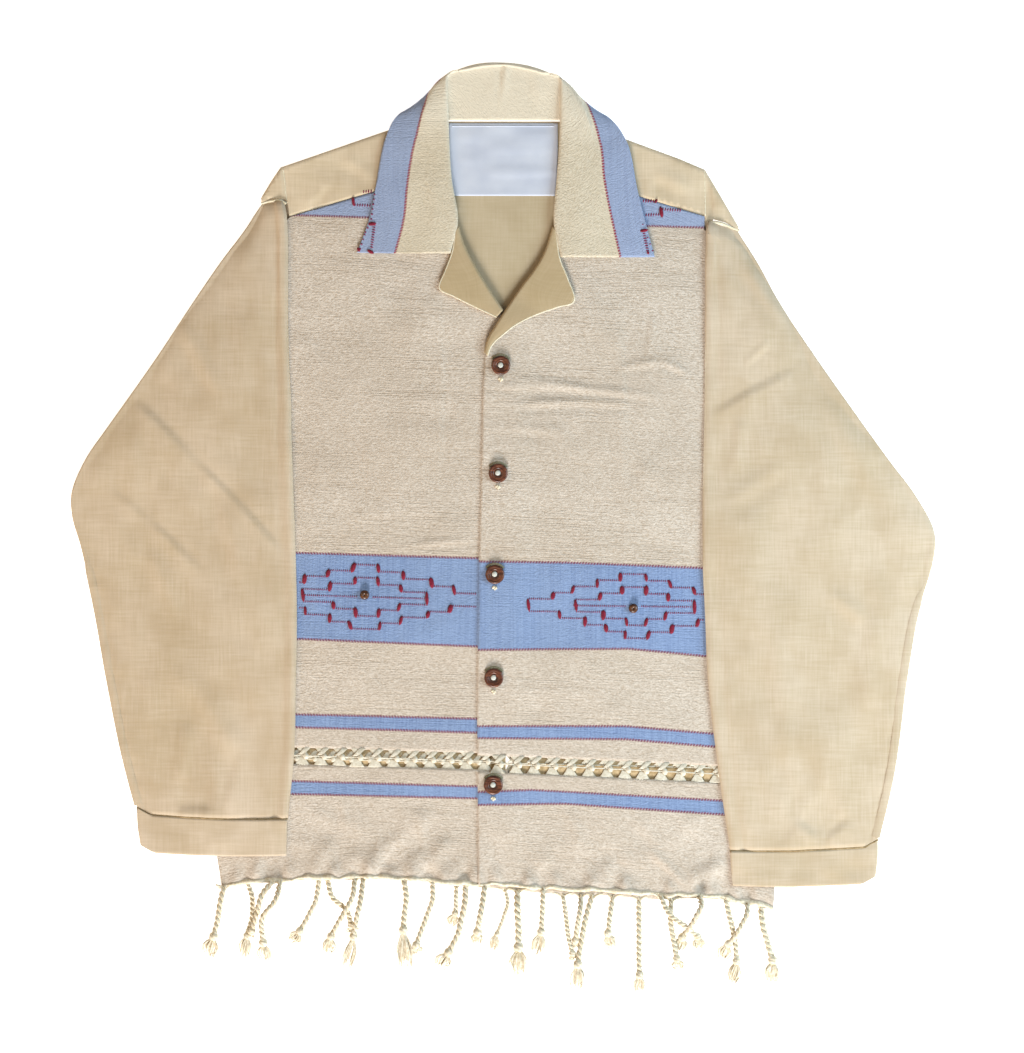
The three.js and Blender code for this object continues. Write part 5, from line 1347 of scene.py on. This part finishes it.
def gathered(start, end, ridges, lift, wave=0.2, wall=0.8, bend=0.85):
    """Warp threads side by side as one ridged sheet between two rows of (from x, to x, y, z)."""
    rows, columns = 7, ridges * 2 + 1
    grid = np.zeros((rows, columns, 3))
    for i, t in enumerate(np.linspace(0, 1, rows)):
        from_x, to_x, y, z = (a * (1 - s) + b * s for a, b, s in zip(start, end, (t**bend, t**bend, t, t)))
        grid[i, :, 0] = np.linspace(from_x, to_x, columns)
        grid[i, :, 1] = y
        rounded = 0.45 * np.sin(np.linspace(0.15, np.pi - 0.15, columns))
        grid[i, :, 2] = z + lift * math.sin(math.pi * t) + wave * (-1.0)**np.arange(columns) + rounded
    corners, faces, _, _ = cloth_shell(grid, wall)
    return corners, [list(map(int, face)) for face in faces]


def openwork_repeat():
    """One repeat: crossed bundles above, a fan below, and the knot that ties them."""
    threads = [gathered((-4.6, -1.8, 0.2, 0.2), (-13.2, -5.0, 8.8, -0.2), 4, 0.1),
               gathered((-10.8, -6.2, 1.3, 0.9), (-4.6, 1.4, 8.8, 0.1), 3, 0.55, 0.26),
               gathered((-9.6, -4.2, -0.5, -0.3), (-13.9, 0.7, -8.4, 0.0), 6, 0.1, 0.12, bend=1.35),
               tube([(-4.9, 3.4, 0.4), (-4.0, 2.0, 1.0), (-3.4, 0.3, 1.3), (-2.8, -1.4, 1.0),
                     (-2.2, -2.8, 0.3)], [0.8, 2.0, 2.6, 2.1, 0.8], 9, 0.5),
               tube(bow((-8.5, 0.35, 1.2), (8.4, 0.35, 1.2), 0.1), 0.6, 7)]
    return bundle("openwork_pattern", threads)


REPEAT = openwork_repeat()


def openwork_places(line, first, from_x, to_x, height):
    places = []
    x = first
    while x > from_x:
        x -= PITCH
    while x < to_x + 8:
        if x - 8 > from_x and x < to_x:
            y = float(line(x))
            slope = math.atan2(float(line(x + 5)) - float(line(x - 5)), 10)
            places.append((x, y, height(x, y), slope, 1, 1, 1))
        x += PITCH
    return places


def front_middle(side):
    def middle(x, y):
        return float(front_height(side, x, y)) - 0.05
    return middle


OPENWORK = [  # name, line, first knot, from x, to x, height, seed
    ("openwork_right", MIDDLE_THREAD[-1], -180.0, -262, 5, front_middle(-1), 3),
    ("openwork_left", MIDDLE_THREAD[1], 18.2, -20, 251, front_middle(1), 4),
    ("openwork_back", BACK_THREAD, -171.5, -264, 250, lambda x, y: BLANKET / 2 + 0.1, 5),
]
for name, *row, seed in OPENWORK:
    sew(name, REPEAT, openwork_places(*row), openwork_cotton, 0.05, seed)


SHADE_SHEET_WALL, SHADE_SHEET_Z = 0.3, BLANKET + 0.15


def behind_holes(name, line, from_x, to_x, z):
    """A thin sheet painted in shade, standing for the other layer's cloth as the openwork's holes show it."""
    xs = np.linspace(from_x, to_x, 60)
    grid = np.stack([np.stack([xs, line(xs) + dy, np.full_like(xs, z)], -1) for dy in (-8.0, 0.0, 8.0)])
    dress(join_shells(name, [cloth_shell(grid, SHADE_SHEET_WALL)]), shaded_cotton, "blanket_cloth")


# Painted shade: a khaki sheet under each front's row of holes
behind_holes("right_row_lining", MIDDLE_THREAD[-1], -262, 2, SHADE_SHEET_Z)
behind_holes("left_row_lining", MIDDLE_THREAD[1], 12, 249, SHADE_SHEET_Z)

# %% [markdown]
# ### Diamonds of stepped stitches
# The diamond is charted: each run is 23 mm long and each step 6 mm high. A short satin stitch
# stands at every step and a fine running line joins the steps. The lists give the steps' places
# along the stripe, as a hand sews them, never quite even.

# %% Charted diamonds
STEP = 6.0
OUTER, INNER = 26.8, 14.7  # heights of the first steps of the outer and inner diamond
DIAMONDS = [
    {"bead": (-129, -63), "centre": -1.8, "tilt": -0.03, "edge": (-190, -23),
     "outer_up": [(-80, 3), (-55.8, 2), (-34, 1), (-10.6, 0), (12.7, 0), (36, 1), (62.1, 2), (83, 3)],
     "outer_down": [(-80, 3), (-55.1, 2), (-32.4, 1), (-13.6, 0), (14.1, 0), (33.7, 1), (58.8, 2), (79.6, 3)],
     "inner_up": [(-57.4, 2), (-32.2, 1), (-8.9, 0), (12.4, 0), (33.7, 1), (57.8, 2)],
     "inner_down": [(-57.4, 2), (-29, 1), (-8.4, 0), (13, 0), (32, 1), (57.8, 2)], "tall": [-57.4, 57.8],
     "run_out": [(83, 104), (79.6, 104)]},
    {"bead": (120.5, -75.5), "centre": 2.0, "tilt": -0.012, "edge": (-20, 186),
     "outer_up": [(-97.3, 4), (-74.5, 3), (-56, 2), (-33.4, 1), (-11.9, 0), (12, 0), (34.3, 1), (56.6, 2),
                  (75, 3)],
     "outer_down": [(-97.3, 4), (-68.4, 3), (-44.7, 2), (-25.2, 1), (-7.4, 0), (14, 0), (36, 1), (60, 2),
                    (78, 3)],
     "inner_up": [(-53.3, 2), (-30.7, 1), (-10.3, 0), (12, 0), (32.5, 1), (57, 2)],
     "inner_down": [(-53.3, 2), (-27.7, 1), (-6.2, 0), (12, 0), (30, 1), (57, 2)], "tall": [-97.3, -53.3, 57],
     "run_out": []},
]
DASH = 1.9  # from one tick to the next
BAR, TALL_BAR = (8.8, 3.9, 2.1), (13.0, 3.5, 2.0)  # length, width and height of a satin stitch
BAR_LIFT = 0.35  # its middle above the cloth


def dashes(x0, y0, x1, y1, top, step=DASH, tall=2.1, thick=1.0):
    """Short stitches that stand across a line."""
    length = math.hypot(x1 - x0, y1 - y0)
    turn = math.atan2(y1 - y0, x1 - x0)
    places = []
    for t in np.arange(0.5, length / step) * step / length:
        x, y = x0 + (x1 - x0) * t, y0 + (y1 - y0) * t
        places.append((x, y, top(x, y) + 0.1, turn + math.radians(78), tall, thick, 0.8))
    return places


def diamond(chart, knots, lines, random):
    bead_x, bead_y = chart["bead"]
    low, high = chart["edge"]

    def spot(x, level_mm):
        return bead_x + x, bead_y + chart["centre"] + level_mm + chart["tilt"] * x

    def line(x0, x1, level_mm):
        a, b = spot(x0, level_mm), spot(x1, level_mm)
        a, b = max(a[0], low), min(b[0], high)
        if b > a:
            y = spot(a - bead_x, level_mm)[1], spot(b - bead_x, level_mm)[1]
            lines.extend(dashes(a, y[0], b, y[1], fronts_top))

    for ring, first, up in (("outer_up", OUTER, 1), ("outer_down", OUTER, -1),
                            ("inner_up", INNER, 1), ("inner_down", INNER, -1)):
        steps = chart[ring]
        for (x, index) in steps:
            if x in chart["tall"]:
                continue
            px, py = spot(x, up * (first - STEP * index))
            if low < px < high:
                lean = math.radians(90 - up * (8 if x < 0 else -8) + random.uniform(-12, 12))
                tall, wide = BAR[0] * random.uniform(0.85, 1.1), BAR[1] * random.uniform(0.8, 1.2)
                knots.append((px, py, fronts_top(px, py) + BAR_LIFT, lean, tall, wide, BAR[2]))
        for (x0, i0), (x1, i1) in zip(steps, steps[1:]):
            line(x0, x1, up * (first + STEP / 2 - STEP * max(i0, i1)))
    for x in chart["tall"]:
        px, py = spot(x, 0)
        if low < px < high:
            lean = math.radians(92 if x > 0 else 98)
            knots.append((px, py, fronts_top(px, py) + 0.4, lean, *TALL_BAR))
    for (x0, x1), up in zip(chart["run_out"], (1, -1)):
        line(x0, x1, up * STEP)
    for x0, x1 in ((-56, -6), (7, 56)):
        line(x0, x1, 0.0)


knots, lines = [], []
random = np.random.default_rng(7)
for chart in DIAMONDS:
    diamond(chart, knots, lines, random)
print(len(knots), "satin stitches,", len(lines), "running stitches")

# %% Stitches beside the yoke and on the collar's points
all_top = top_of("front_right_cloth", "front_left_cloth", "collar_cloth", "yoke_cloth")
YOKE_BARS = [  # x, y, degrees of turn, length, width
    (-139.5, 302.5, 95, 9.0, 3.2), (-121.8, 281.4, 5, 7.5, 3.6), (-123.5, 255.6, 150, 7.5, 3.4),
    (-134.5, 257.6, 120, 4.0, 2.6), (146.6, 292.6, 100, 9.6, 3.4), (141.8, 302.8, 60, 4.0, 2.2),
    (130.5, 275.2, 10, 8.0, 3.2), (134.2, 254.6, 110, 3.6, 2.4)]
YOKE_LINES = [  # each from x, y to x, y
    (-139, 299.3, -124, 298.8), (-131, 311.5, -121, 312.2), (129, 303.2, 142, 302.6),
    (147, 295.4, 166, 294.2), (131.5, 290, 146, 290.6), (-119.8, 281.5, -122.6, 258),
    (130.2, 273.5, 133.8, 256)]
COLLAR_EDGE_LINES = [(-119.4, 311, -123, 284), (-123, 284, -128.2, 273.6), (-128.2, 273.6, -133.2, 258)]
for x, y, turn, length, width in YOKE_BARS:
    knots.append((x, y, all_top(x, y) + BAR_LIFT, math.radians(turn), length, width, 1.9))
for ends in YOKE_LINES:
    lines.extend(dashes(*ends, all_top, 2.3, 3.2, 1.25))
for ends in COLLAR_EDGE_LINES:
    lines.extend(dashes(*ends, all_top, 4.6, 2.0, 1.6))
lines.extend(dashes(128.2, 284, 138.6, 256, all_top, 6.5, 1.6, 1.3))
sew("satin_stitches", KNOT, knots, crimson_thread, 0.1, 11)
sew("running_stitches", KNOT, lines, fine_red_thread, 0.1, 12)

# %% [markdown]
# ### Rolled edges, seams and buttonholes
# Where two layers are sewn and turned, the edge is a small roll that catches the light. A thin
# tube along the edge gives it: on the lapels, at the sleeves' heads and along the gathered hem;
# on the lapels it is painted paler than the facing, as a highlight.
# A buttonhole is a short slit with a bar of close stitches round it; the bar above each button is painted
# olive as the slit's shade.

# %% Rolled edges


def roll(name, paths, radii, material, slot, flat=1.0):
    """Rolls of cloth along paths; a radius may vary along its path."""
    corners, faces = joined([tube(path, radius, 8, flat) for path, radius in zip(paths, radii)])
    dress(make_object(name, corners, faces), material, slot)
    print(name, "has", len(faces), "faces")


def lapel_roll(side):
    edge = dense_lapel(side, FACING_RADIUS, 0.4, True)[:, -1]
    return smooth_path(edge - np.array([0, 0, 0.15]), 1.5)


def smooth_path(points, spacing):
    """Evenly spaced points on a smooth curve through the given ones."""
    rows = np.array(points, float)[:, None, :]
    return smooth_down(rows, spacing)[:, 0]


# The lapels' rolls carry a painted highlight
roll("lapel_rolls", [lapel_roll(-1), lapel_roll(1)], [0.75, 0.75], pale_cotton_and_lapel_highlight, "facing_cotton")
upper = top_of("yoke_cloth", "sleeve_right_cloth", "sleeve_left_cloth")


def on_top(places, sink, spacing=1.5):
    """A smooth path on the yoke and sleeves, sunk a little into them."""
    flat = smooth_path([(x, y, 0.0) for x, y in places], spacing)
    return np.array([(x, y, upper(x, y, 1.0) - sink) for x, y, _ in flat])


heads = [smooth_path(points, 1.5) for points in (
    [(-225.0, 300.9, 1.5), (-215.3, 303.0, 2.8), (-207.9, 303.4, 4.0), (-201.6, 300.4, 3.8)],
    [(219.2, 275.6, 1.5), (211, 278.8, 2.4), (200, 282.6, 3.9), (189.2, 282.8, 3.8)])]
armholes = [on_top([(-205, 332), (-203.6, 322), (-202.9, 313), (-201.6, 304)], 0.35),
            on_top([(186.5, 332), (186.9, 318), (187.2, 303), (187.4, 288)], 0.35)]
roll("sleeve_head_rolls", heads + armholes, [1.35, 1.35, 0.65, 0.65], pale_cotton_and_lapel_highlight, "sleeve_cotton")


def edge_strip(side, inset, from_y, to_y):
    """A path beside the outer edge of a sleeve."""
    grid = SLEEVE_GRIDS[side]
    ys = grid[..., 1].mean(axis=1)
    x_edge = (grid[..., 0] * side).max(axis=1) - inset
    order = np.argsort(ys)
    rows = np.linspace(from_y, to_y, 24)
    xs = np.interp(rows, ys[order], x_edge[order]) * side
    return on_top(list(zip(xs, rows)), 0.0, 2.5)


cuff_seams = []
for side in (-1, 1):
    row = dict(zip(CUFF_COLUMNS, CUFFS[side][0]))
    across = np.linspace(0.004, 0.996, 46)
    xs = row["out_x"] + (row["in_x"] - row["out_x"]) * across
    ys = on_section(row, xs) + 0.5 - np.interp(across, SAG_ACROSS, SAG_MM)
    zs = np.array([upper(px, py + 3.0, 3.0) for px, py in zip(xs, ys)]) - 0.9
    cuff_seams.append(np.stack([xs, ys, zs], -1))
# Painted shade: a dark brown roll in each cuff's seam stands for the shadow in its gap
roll("cuff_seams", cuff_seams, [0.95, 0.95], seam_shade_cotton, "sleeve_cotton")

strips = [edge_strip(-1, 3.8, -15, -258), edge_strip(1, 4.0, -45, -288)]
widths = [3.5 * ramp(np.arange(len(path)), 0, 12) + 0.3 for path in strips]
roll("sleeve_seam_strips", strips, widths, sleeve_cotton, "sleeve_cotton", flat=0.16)


def hem_roll(from_x, to_x, top):
    xs = np.arange(from_x, to_x, 1.6)
    y = HEM(xs) + 1.5 * soft_noise(xs, 0 * xs, 9, 16) + 0.7
    z = np.array([top(px, py + 2.0, FRONT_Z) for px, py in zip(xs, y)]) - BLANKET / 2 + 0.2
    radius = 2.0 + 0.8 * soft_noise(xs, 0 * xs, 7, 18)
    return np.stack([xs, y, np.maximum(z, radius + 0.1)], -1), radius


right_hem, right_radius = hem_roll(-265, 3, top_of("front_right_cloth"))
left_hem, left_radius = hem_roll(-22, 251, top_of("front_left_cloth"))
roll("hem_rolls", [right_hem, left_hem], [right_radius, left_radius], cord_cotton, "blanket_cloth")

# %% Buttonholes and the buttons' thread
# The bar above each button is olive thread painted as the buttonhole's shade
BUTTONHOLE = (9.6, 9.8)  # half the width and height of the bar that shows above a button
thread_tails, slits = [], []
for x, y in BUTTONS:
    angles = np.radians(np.arange(35, 150, 12))
    arc = [(x + BUTTONHOLE[0] * math.cos(t), y + BUTTONHOLE[1] * math.sin(t)) for t in angles]
    slits.append(smooth_path([(px, py, fronts_top(px, py) + 0.3) for px, py in arc], 1.2))
    for dx, dy, turn in ((-1.2, -12.0, 50), (1.1, -12.4, 120), (0.1, -13.4, 85)):
        px, py = x + dx, y + dy
        thread_tails.append((px, py, fronts_top(px, py) + 0.5, math.radians(turn), 3.2, 2.2, 1.8))
roll("buttonhole_rolls", slits, [1.3] * len(slits), buttonhole_shade_thread, "fringe_cord")
sew("button_thread_tails", KNOT, thread_tails, pale_cotton_and_lapel_highlight, 0.2, 22)
label_top = top_of("label_cloth")
label_seam = [(x, 372.6, label_top(x, 372.6, 2.0) + 0.05) for x in np.linspace(-48, 47, 20)]
roll("label_fold", [smooth_path(label_seam, 2.0)], [0.45], label_satin, "label_satin")

# %% [markdown]
# ## Fringe
# The fringe is the blanket's own warp: threads are twisted in two bundles, the bundles twist
# round each other into a cord, and a knot stops them above a loose tuft. Two thin tubes that
# wind round one path give the cord's twist; the knot is a fat short winding; the tuft is a
# spray of thin threads. The rows give each cord's path.

# %% Fringe
CORD_COLUMNS = ("x", "ax", "ay", "bx", "by", "kx", "ky", "tx", "ty", "thick", "over")
CORDS = {
    "front_right": [
        (-259, -263, -350, -265, -365, -269, -380, -274, -398, 4.6, 0),
        (-238, -233, -347, -233, -359, -238, -379.5, -241, -398, 3.8, 0),
        (-213, -225, -344, -228, -356, -234, -375, -236, -378, 4.4, 4.8),
        (-207, -212, -347, -222, -360, -223, -386, -221, -402, 4.4, 9.4),
        (-171, -175, -350, -184, -367, -189, -375, -197, -384, 4.2, 0),
        (-164, -157, -346, -147, -354, -141, -370, -140, -376, 4.0, 0),
        (-138, -141, -346, -150, -362, -160, -380, -164, -394, 4.2, 4.8),
        (-130, -133, -350, -136, -364, -139, -380, -146, -406, 4.4, 4.8),
        (-93, -90, -346, -92, -362, -93, -374, -91, -406, 4.6, 0),
        (-66, -66, -348, -73, -367, -81, -388, -80, -396, 4.2, 0),
        (-35, -36, -352, -42, -378, -51, -395, -59, -408, 4.8, 0)],
    "front_left": [
        (-17, -20, -353, -22, -364, -24, -376, -25, -386, 4.6, 4.8),
        (37, 36.5, -350, 36, -364, 35, -376, 30, -395, 4.2, 0),
        (145, 156, -361, 170, -371, 180, -380, 181, -391, 4.0, 4.8),
        (182, 183, -352, 176, -366, 166, -381, 164, -392, 4.4, 9.4),
        (206, 211, -366, 215, -383, 216.5, -403, 212, -422, 4.2, 0),
        (227, 225, -361, 216, -378, 209, -387, 204, -400, 4.2, 4.8),
        (239, 241, -371, 247, -392, 250, -402, 249, -421, 4.8, 0)],
    "back": [
        (-44, -44, -345, -44, -352, -45, -359, -48, -369, 3.4, 0),
        (1, 4, -351, -1, -366, -6, -378, -10, -392, 3.0, 0),
        (13, 13, -353, 14, -370, 14, -390, 14, -414, 5.2, 0),
        (55, 58, -361, 60, -379, 64, -396, 66, -401, 3.6, 0),
        (72, 71, -356, 69, -369, 67, -384, 67, -390, 4.0, 4.8),
        (83, 76, -366, 72, -388, 69, -406, 68, -428, 4.6, 0),
        (102, 99, -361, 98, -372, 97, -377, 101, -390, 4.2, 0),
        (126, 126, -384, 126, -404, 126.5, -416, 126, -430, 4.4, 0),
        (156, 155.5, -370, 159, -389, 161, -401, 163, -410, 4.2, 0)],
}
CLEAR = 0.3
CORD_FULLNESS = 0.62  # the cord's radius with its loose fibres, as a share of its thickness
TUFT_THREADS = 26


def twisted(path, radius, turn_mm, plies=2, phase=0.0):
    """Plies that wind round the path; each is a thin tube, whose radius may vary along it."""
    run = unit(np.gradient(path, axis=0))
    across = unit(np.cross(run, UP))
    upward = np.cross(across, run)
    along = run_along(path)
    threads = []
    for k in range(plies):
        angle = phase + 2 * np.pi * (along / turn_mm + k / plies)
        offset = across * np.cos(angle)[:, None] + upward * np.sin(angle)[:, None]
        threads.append(tube(path + offset * (radius * 0.5)[:, None], radius * 0.56, 7))
    return threads


def tuft(knot, tip, radius, random):
    """A spray of loose threads below the knot."""
    threads = []
    run = unit(tip - knot)
    side = unit(np.cross(run, UP))
    length = np.linalg.norm(tip - knot)
    for _ in range(TUFT_THREADS):
        fan = random.uniform(-1, 1)
        reach = length * random.uniform(0.75, 1.12)
        end = knot + run * reach + side * fan * (radius * 1.1 + 0.1 * length)
        middle = knot + run * reach * 0.5 + side * fan * radius * random.uniform(1.6, 2.9)
        end[2] = max(0.45, knot[2] * random.uniform(0.15, 0.8))
        middle[2] = max(0.6, knot[2] * random.uniform(0.6, 1.3))
        path = smooth_path([knot + side * fan * radius * 0.4, middle, end], 3.0)
        threads.append(tube(path, np.linspace(0.8, 0.5, len(path)), 5))
    return threads


def root_height(name, x):
    """How high a cord leaves the hem."""
    if name == "back":
        return 0.8
    lap = LAYER * (1 - float(ramp(x, 8, 34))) if name == "front_left" else 0
    return FRONT_Z + lap


def fringe(name, drop, random):
    """All the cords of one panel: each a twist from the hem to a knot, and a tuft below it."""
    threads = []
    for values in CORDS[name]:
        cord = dict(zip(CORD_COLUMNS, values))
        radius = cord["thick"] * CORD_FULLNESS
        low = CLEAR + radius * 2.05
        hem = float(HEM(cord["x"])) - drop(cord["x"])
        high = low + cord["over"] * 0.8
        root = [cord["x"], hem + 1.0, root_height(name, cord["x"])]
        knot = np.array([cord["kx"], cord["ky"], low], float)
        tip = np.array([cord["tx"], cord["ty"], low - radius * 0.4], float)
        one, two = [cord["ax"], cord["ay"], high], [cord["bx"], cord["by"], high]
        middle = [(cord["ax"] + cord["bx"]) / 2, (cord["ay"] + cord["by"]) / 2, low + cord["over"]]
        path = smooth_path([root, one, middle, two, knot], 1.1)
        growing = radius * 1.05 * (0.35 + 0.65 * ramp(np.arange(len(path)), -3, 6))
        threads += twisted(path, growing, radius * 3.9, phase=random.uniform(0, 6))
        below = np.array([cord["x"], hem - 2.6, root[2]])
        for reach in (-1, 1):
            start = np.array([cord["x"] + reach * random.uniform(6, 9), hem + 1.6, root[2] + 0.3])
            bent = start * 0.45 + below * 0.55 + [0, 0.9, 0.3]
            threads.append(tube(smooth_path([start, bent, below], 1.2), radius * 0.42, 7))
        run = unit(knot - path[-6])
        winding = smooth_path([knot - run * radius * 1.1, knot, knot + run * radius * 1.1], 0.7)
        bulge = 0.45 + 0.55 * np.sin(np.linspace(0.35, np.pi - 0.35, len(winding)))
        threads += twisted(winding, radius * 1.5 * bulge, radius * 2.6, plies=3)
        threads += tuft(knot + run * radius * 0.6, tip, radius, random)
    corners, faces = joined(threads)
    corners[:, 2] = np.maximum(corners[:, 2], ON_TABLE)
    obj = make_object(f"fringe_{name}_cords", corners, faces)
    dress(obj, cord_cotton, "fringe_cord", f"fringe_{name}")
    print(obj.name, "has", len(CORDS[name]), "cords and", len(faces), "faces")


random = np.random.default_rng(5)
DROPS = {"front_right": level(0.0), "front_left": level(0.0), "back": BACK_HEM_DROP}
for name in CORDS:
    fringe(name, DROPS[name], random)
for pattern in (KNOT, REPEAT):
    bpy.data.objects.remove(pattern)

# %% [markdown]
# ## Camera, light and floor
# The camera looks straight down. Its lens is worked out from the stretch of floor that the
# frame covers and the camera's height above it.

# %% Camera
FRAME_MM = (952.3, 979.3)  # width and height of the floor in view
CENTRE_MM = (7.9, 0.5)  # middle of the frame in the shirt's own measure
CAMERA_UP = 3.0
SENSOR_MM = 36.0
camera_data = bpy.data.cameras.new("camera")
camera_data.sensor_width = SENSOR_MM
camera_data.lens = SENSOR_MM * CAMERA_UP / (FRAME_MM[1] * MM)
camera = in_scene("camera", camera_data)
camera.location = ((CENTRE_MM[0] + SHIFT[0]) * MM, (CENTRE_MM[1] + SHIFT[1]) * MM, CAMERA_UP)
bpy.context.scene.camera = camera
print("the lens is", round(camera_data.lens, 1), "mm long")

# %% Light from a low window, a cooler one and a warm lamp


def area_light(name, place, size, power, colour):
    light = bpy.data.lights.new(name, "AREA")
    light.shape, light.size, light.energy, light.color = "SQUARE", size, power, colour
    obj = in_scene(name, light)
    obj.location = place
    obj.rotation_euler = (-Vector(place)).to_track_quat("-Z", "Y").to_euler()


area_light("low_window", (-0.2, -3.2, 1.4), 1.0, 178, (0.98, 0.965, 0.94))
area_light("cool_window", (1.2, 0.0, 0.75), 0.8, 19, (0.70, 0.89, 1.0))
area_light("warm_lamp", (-1.3, 0.3, 0.9), 0.8, 7, (1.0, 0.70, 0.36))
world = bpy.data.worlds.new("studio")
world.use_nodes = True
sky = world.node_tree.nodes["Background"]
feed(world.node_tree, sky, {"Color": (1.0, 0.995, 0.98, 1), "Strength": 0.17})
bpy.context.scene.world = world
bpy.context.scene.view_settings.view_transform = "Standard"
print("two windows, a lamp and a dim room")

# %% Floor, a matt white light table that takes no shadows
FLOOR_HALF, FLOOR_UNDER, TABLE_GLOW = 4.0, 0.0003, 0.75
corners = [(x * FLOOR_HALF, y * FLOOR_HALF, -FLOOR_UNDER) for x, y in ((-1, -1), (1, -1), (1, 1), (-1, 1))]
floor_mesh = bpy.data.meshes.new("floor")
floor_mesh.from_pydata(corners, [], [(0, 1, 2, 3)])
floor = in_scene("floor", floor_mesh)
floor_paint, floor_tree, floor_shader = new_material("matt_white_floor", 0.95)
feed(floor_tree, floor_shader, {"Base Color": linear("#fbfbfb"), "Emission Color": (1, 1, 1, 1),
                                "Emission Strength": TABLE_GLOW})
floor.data.materials.append(floor_paint)
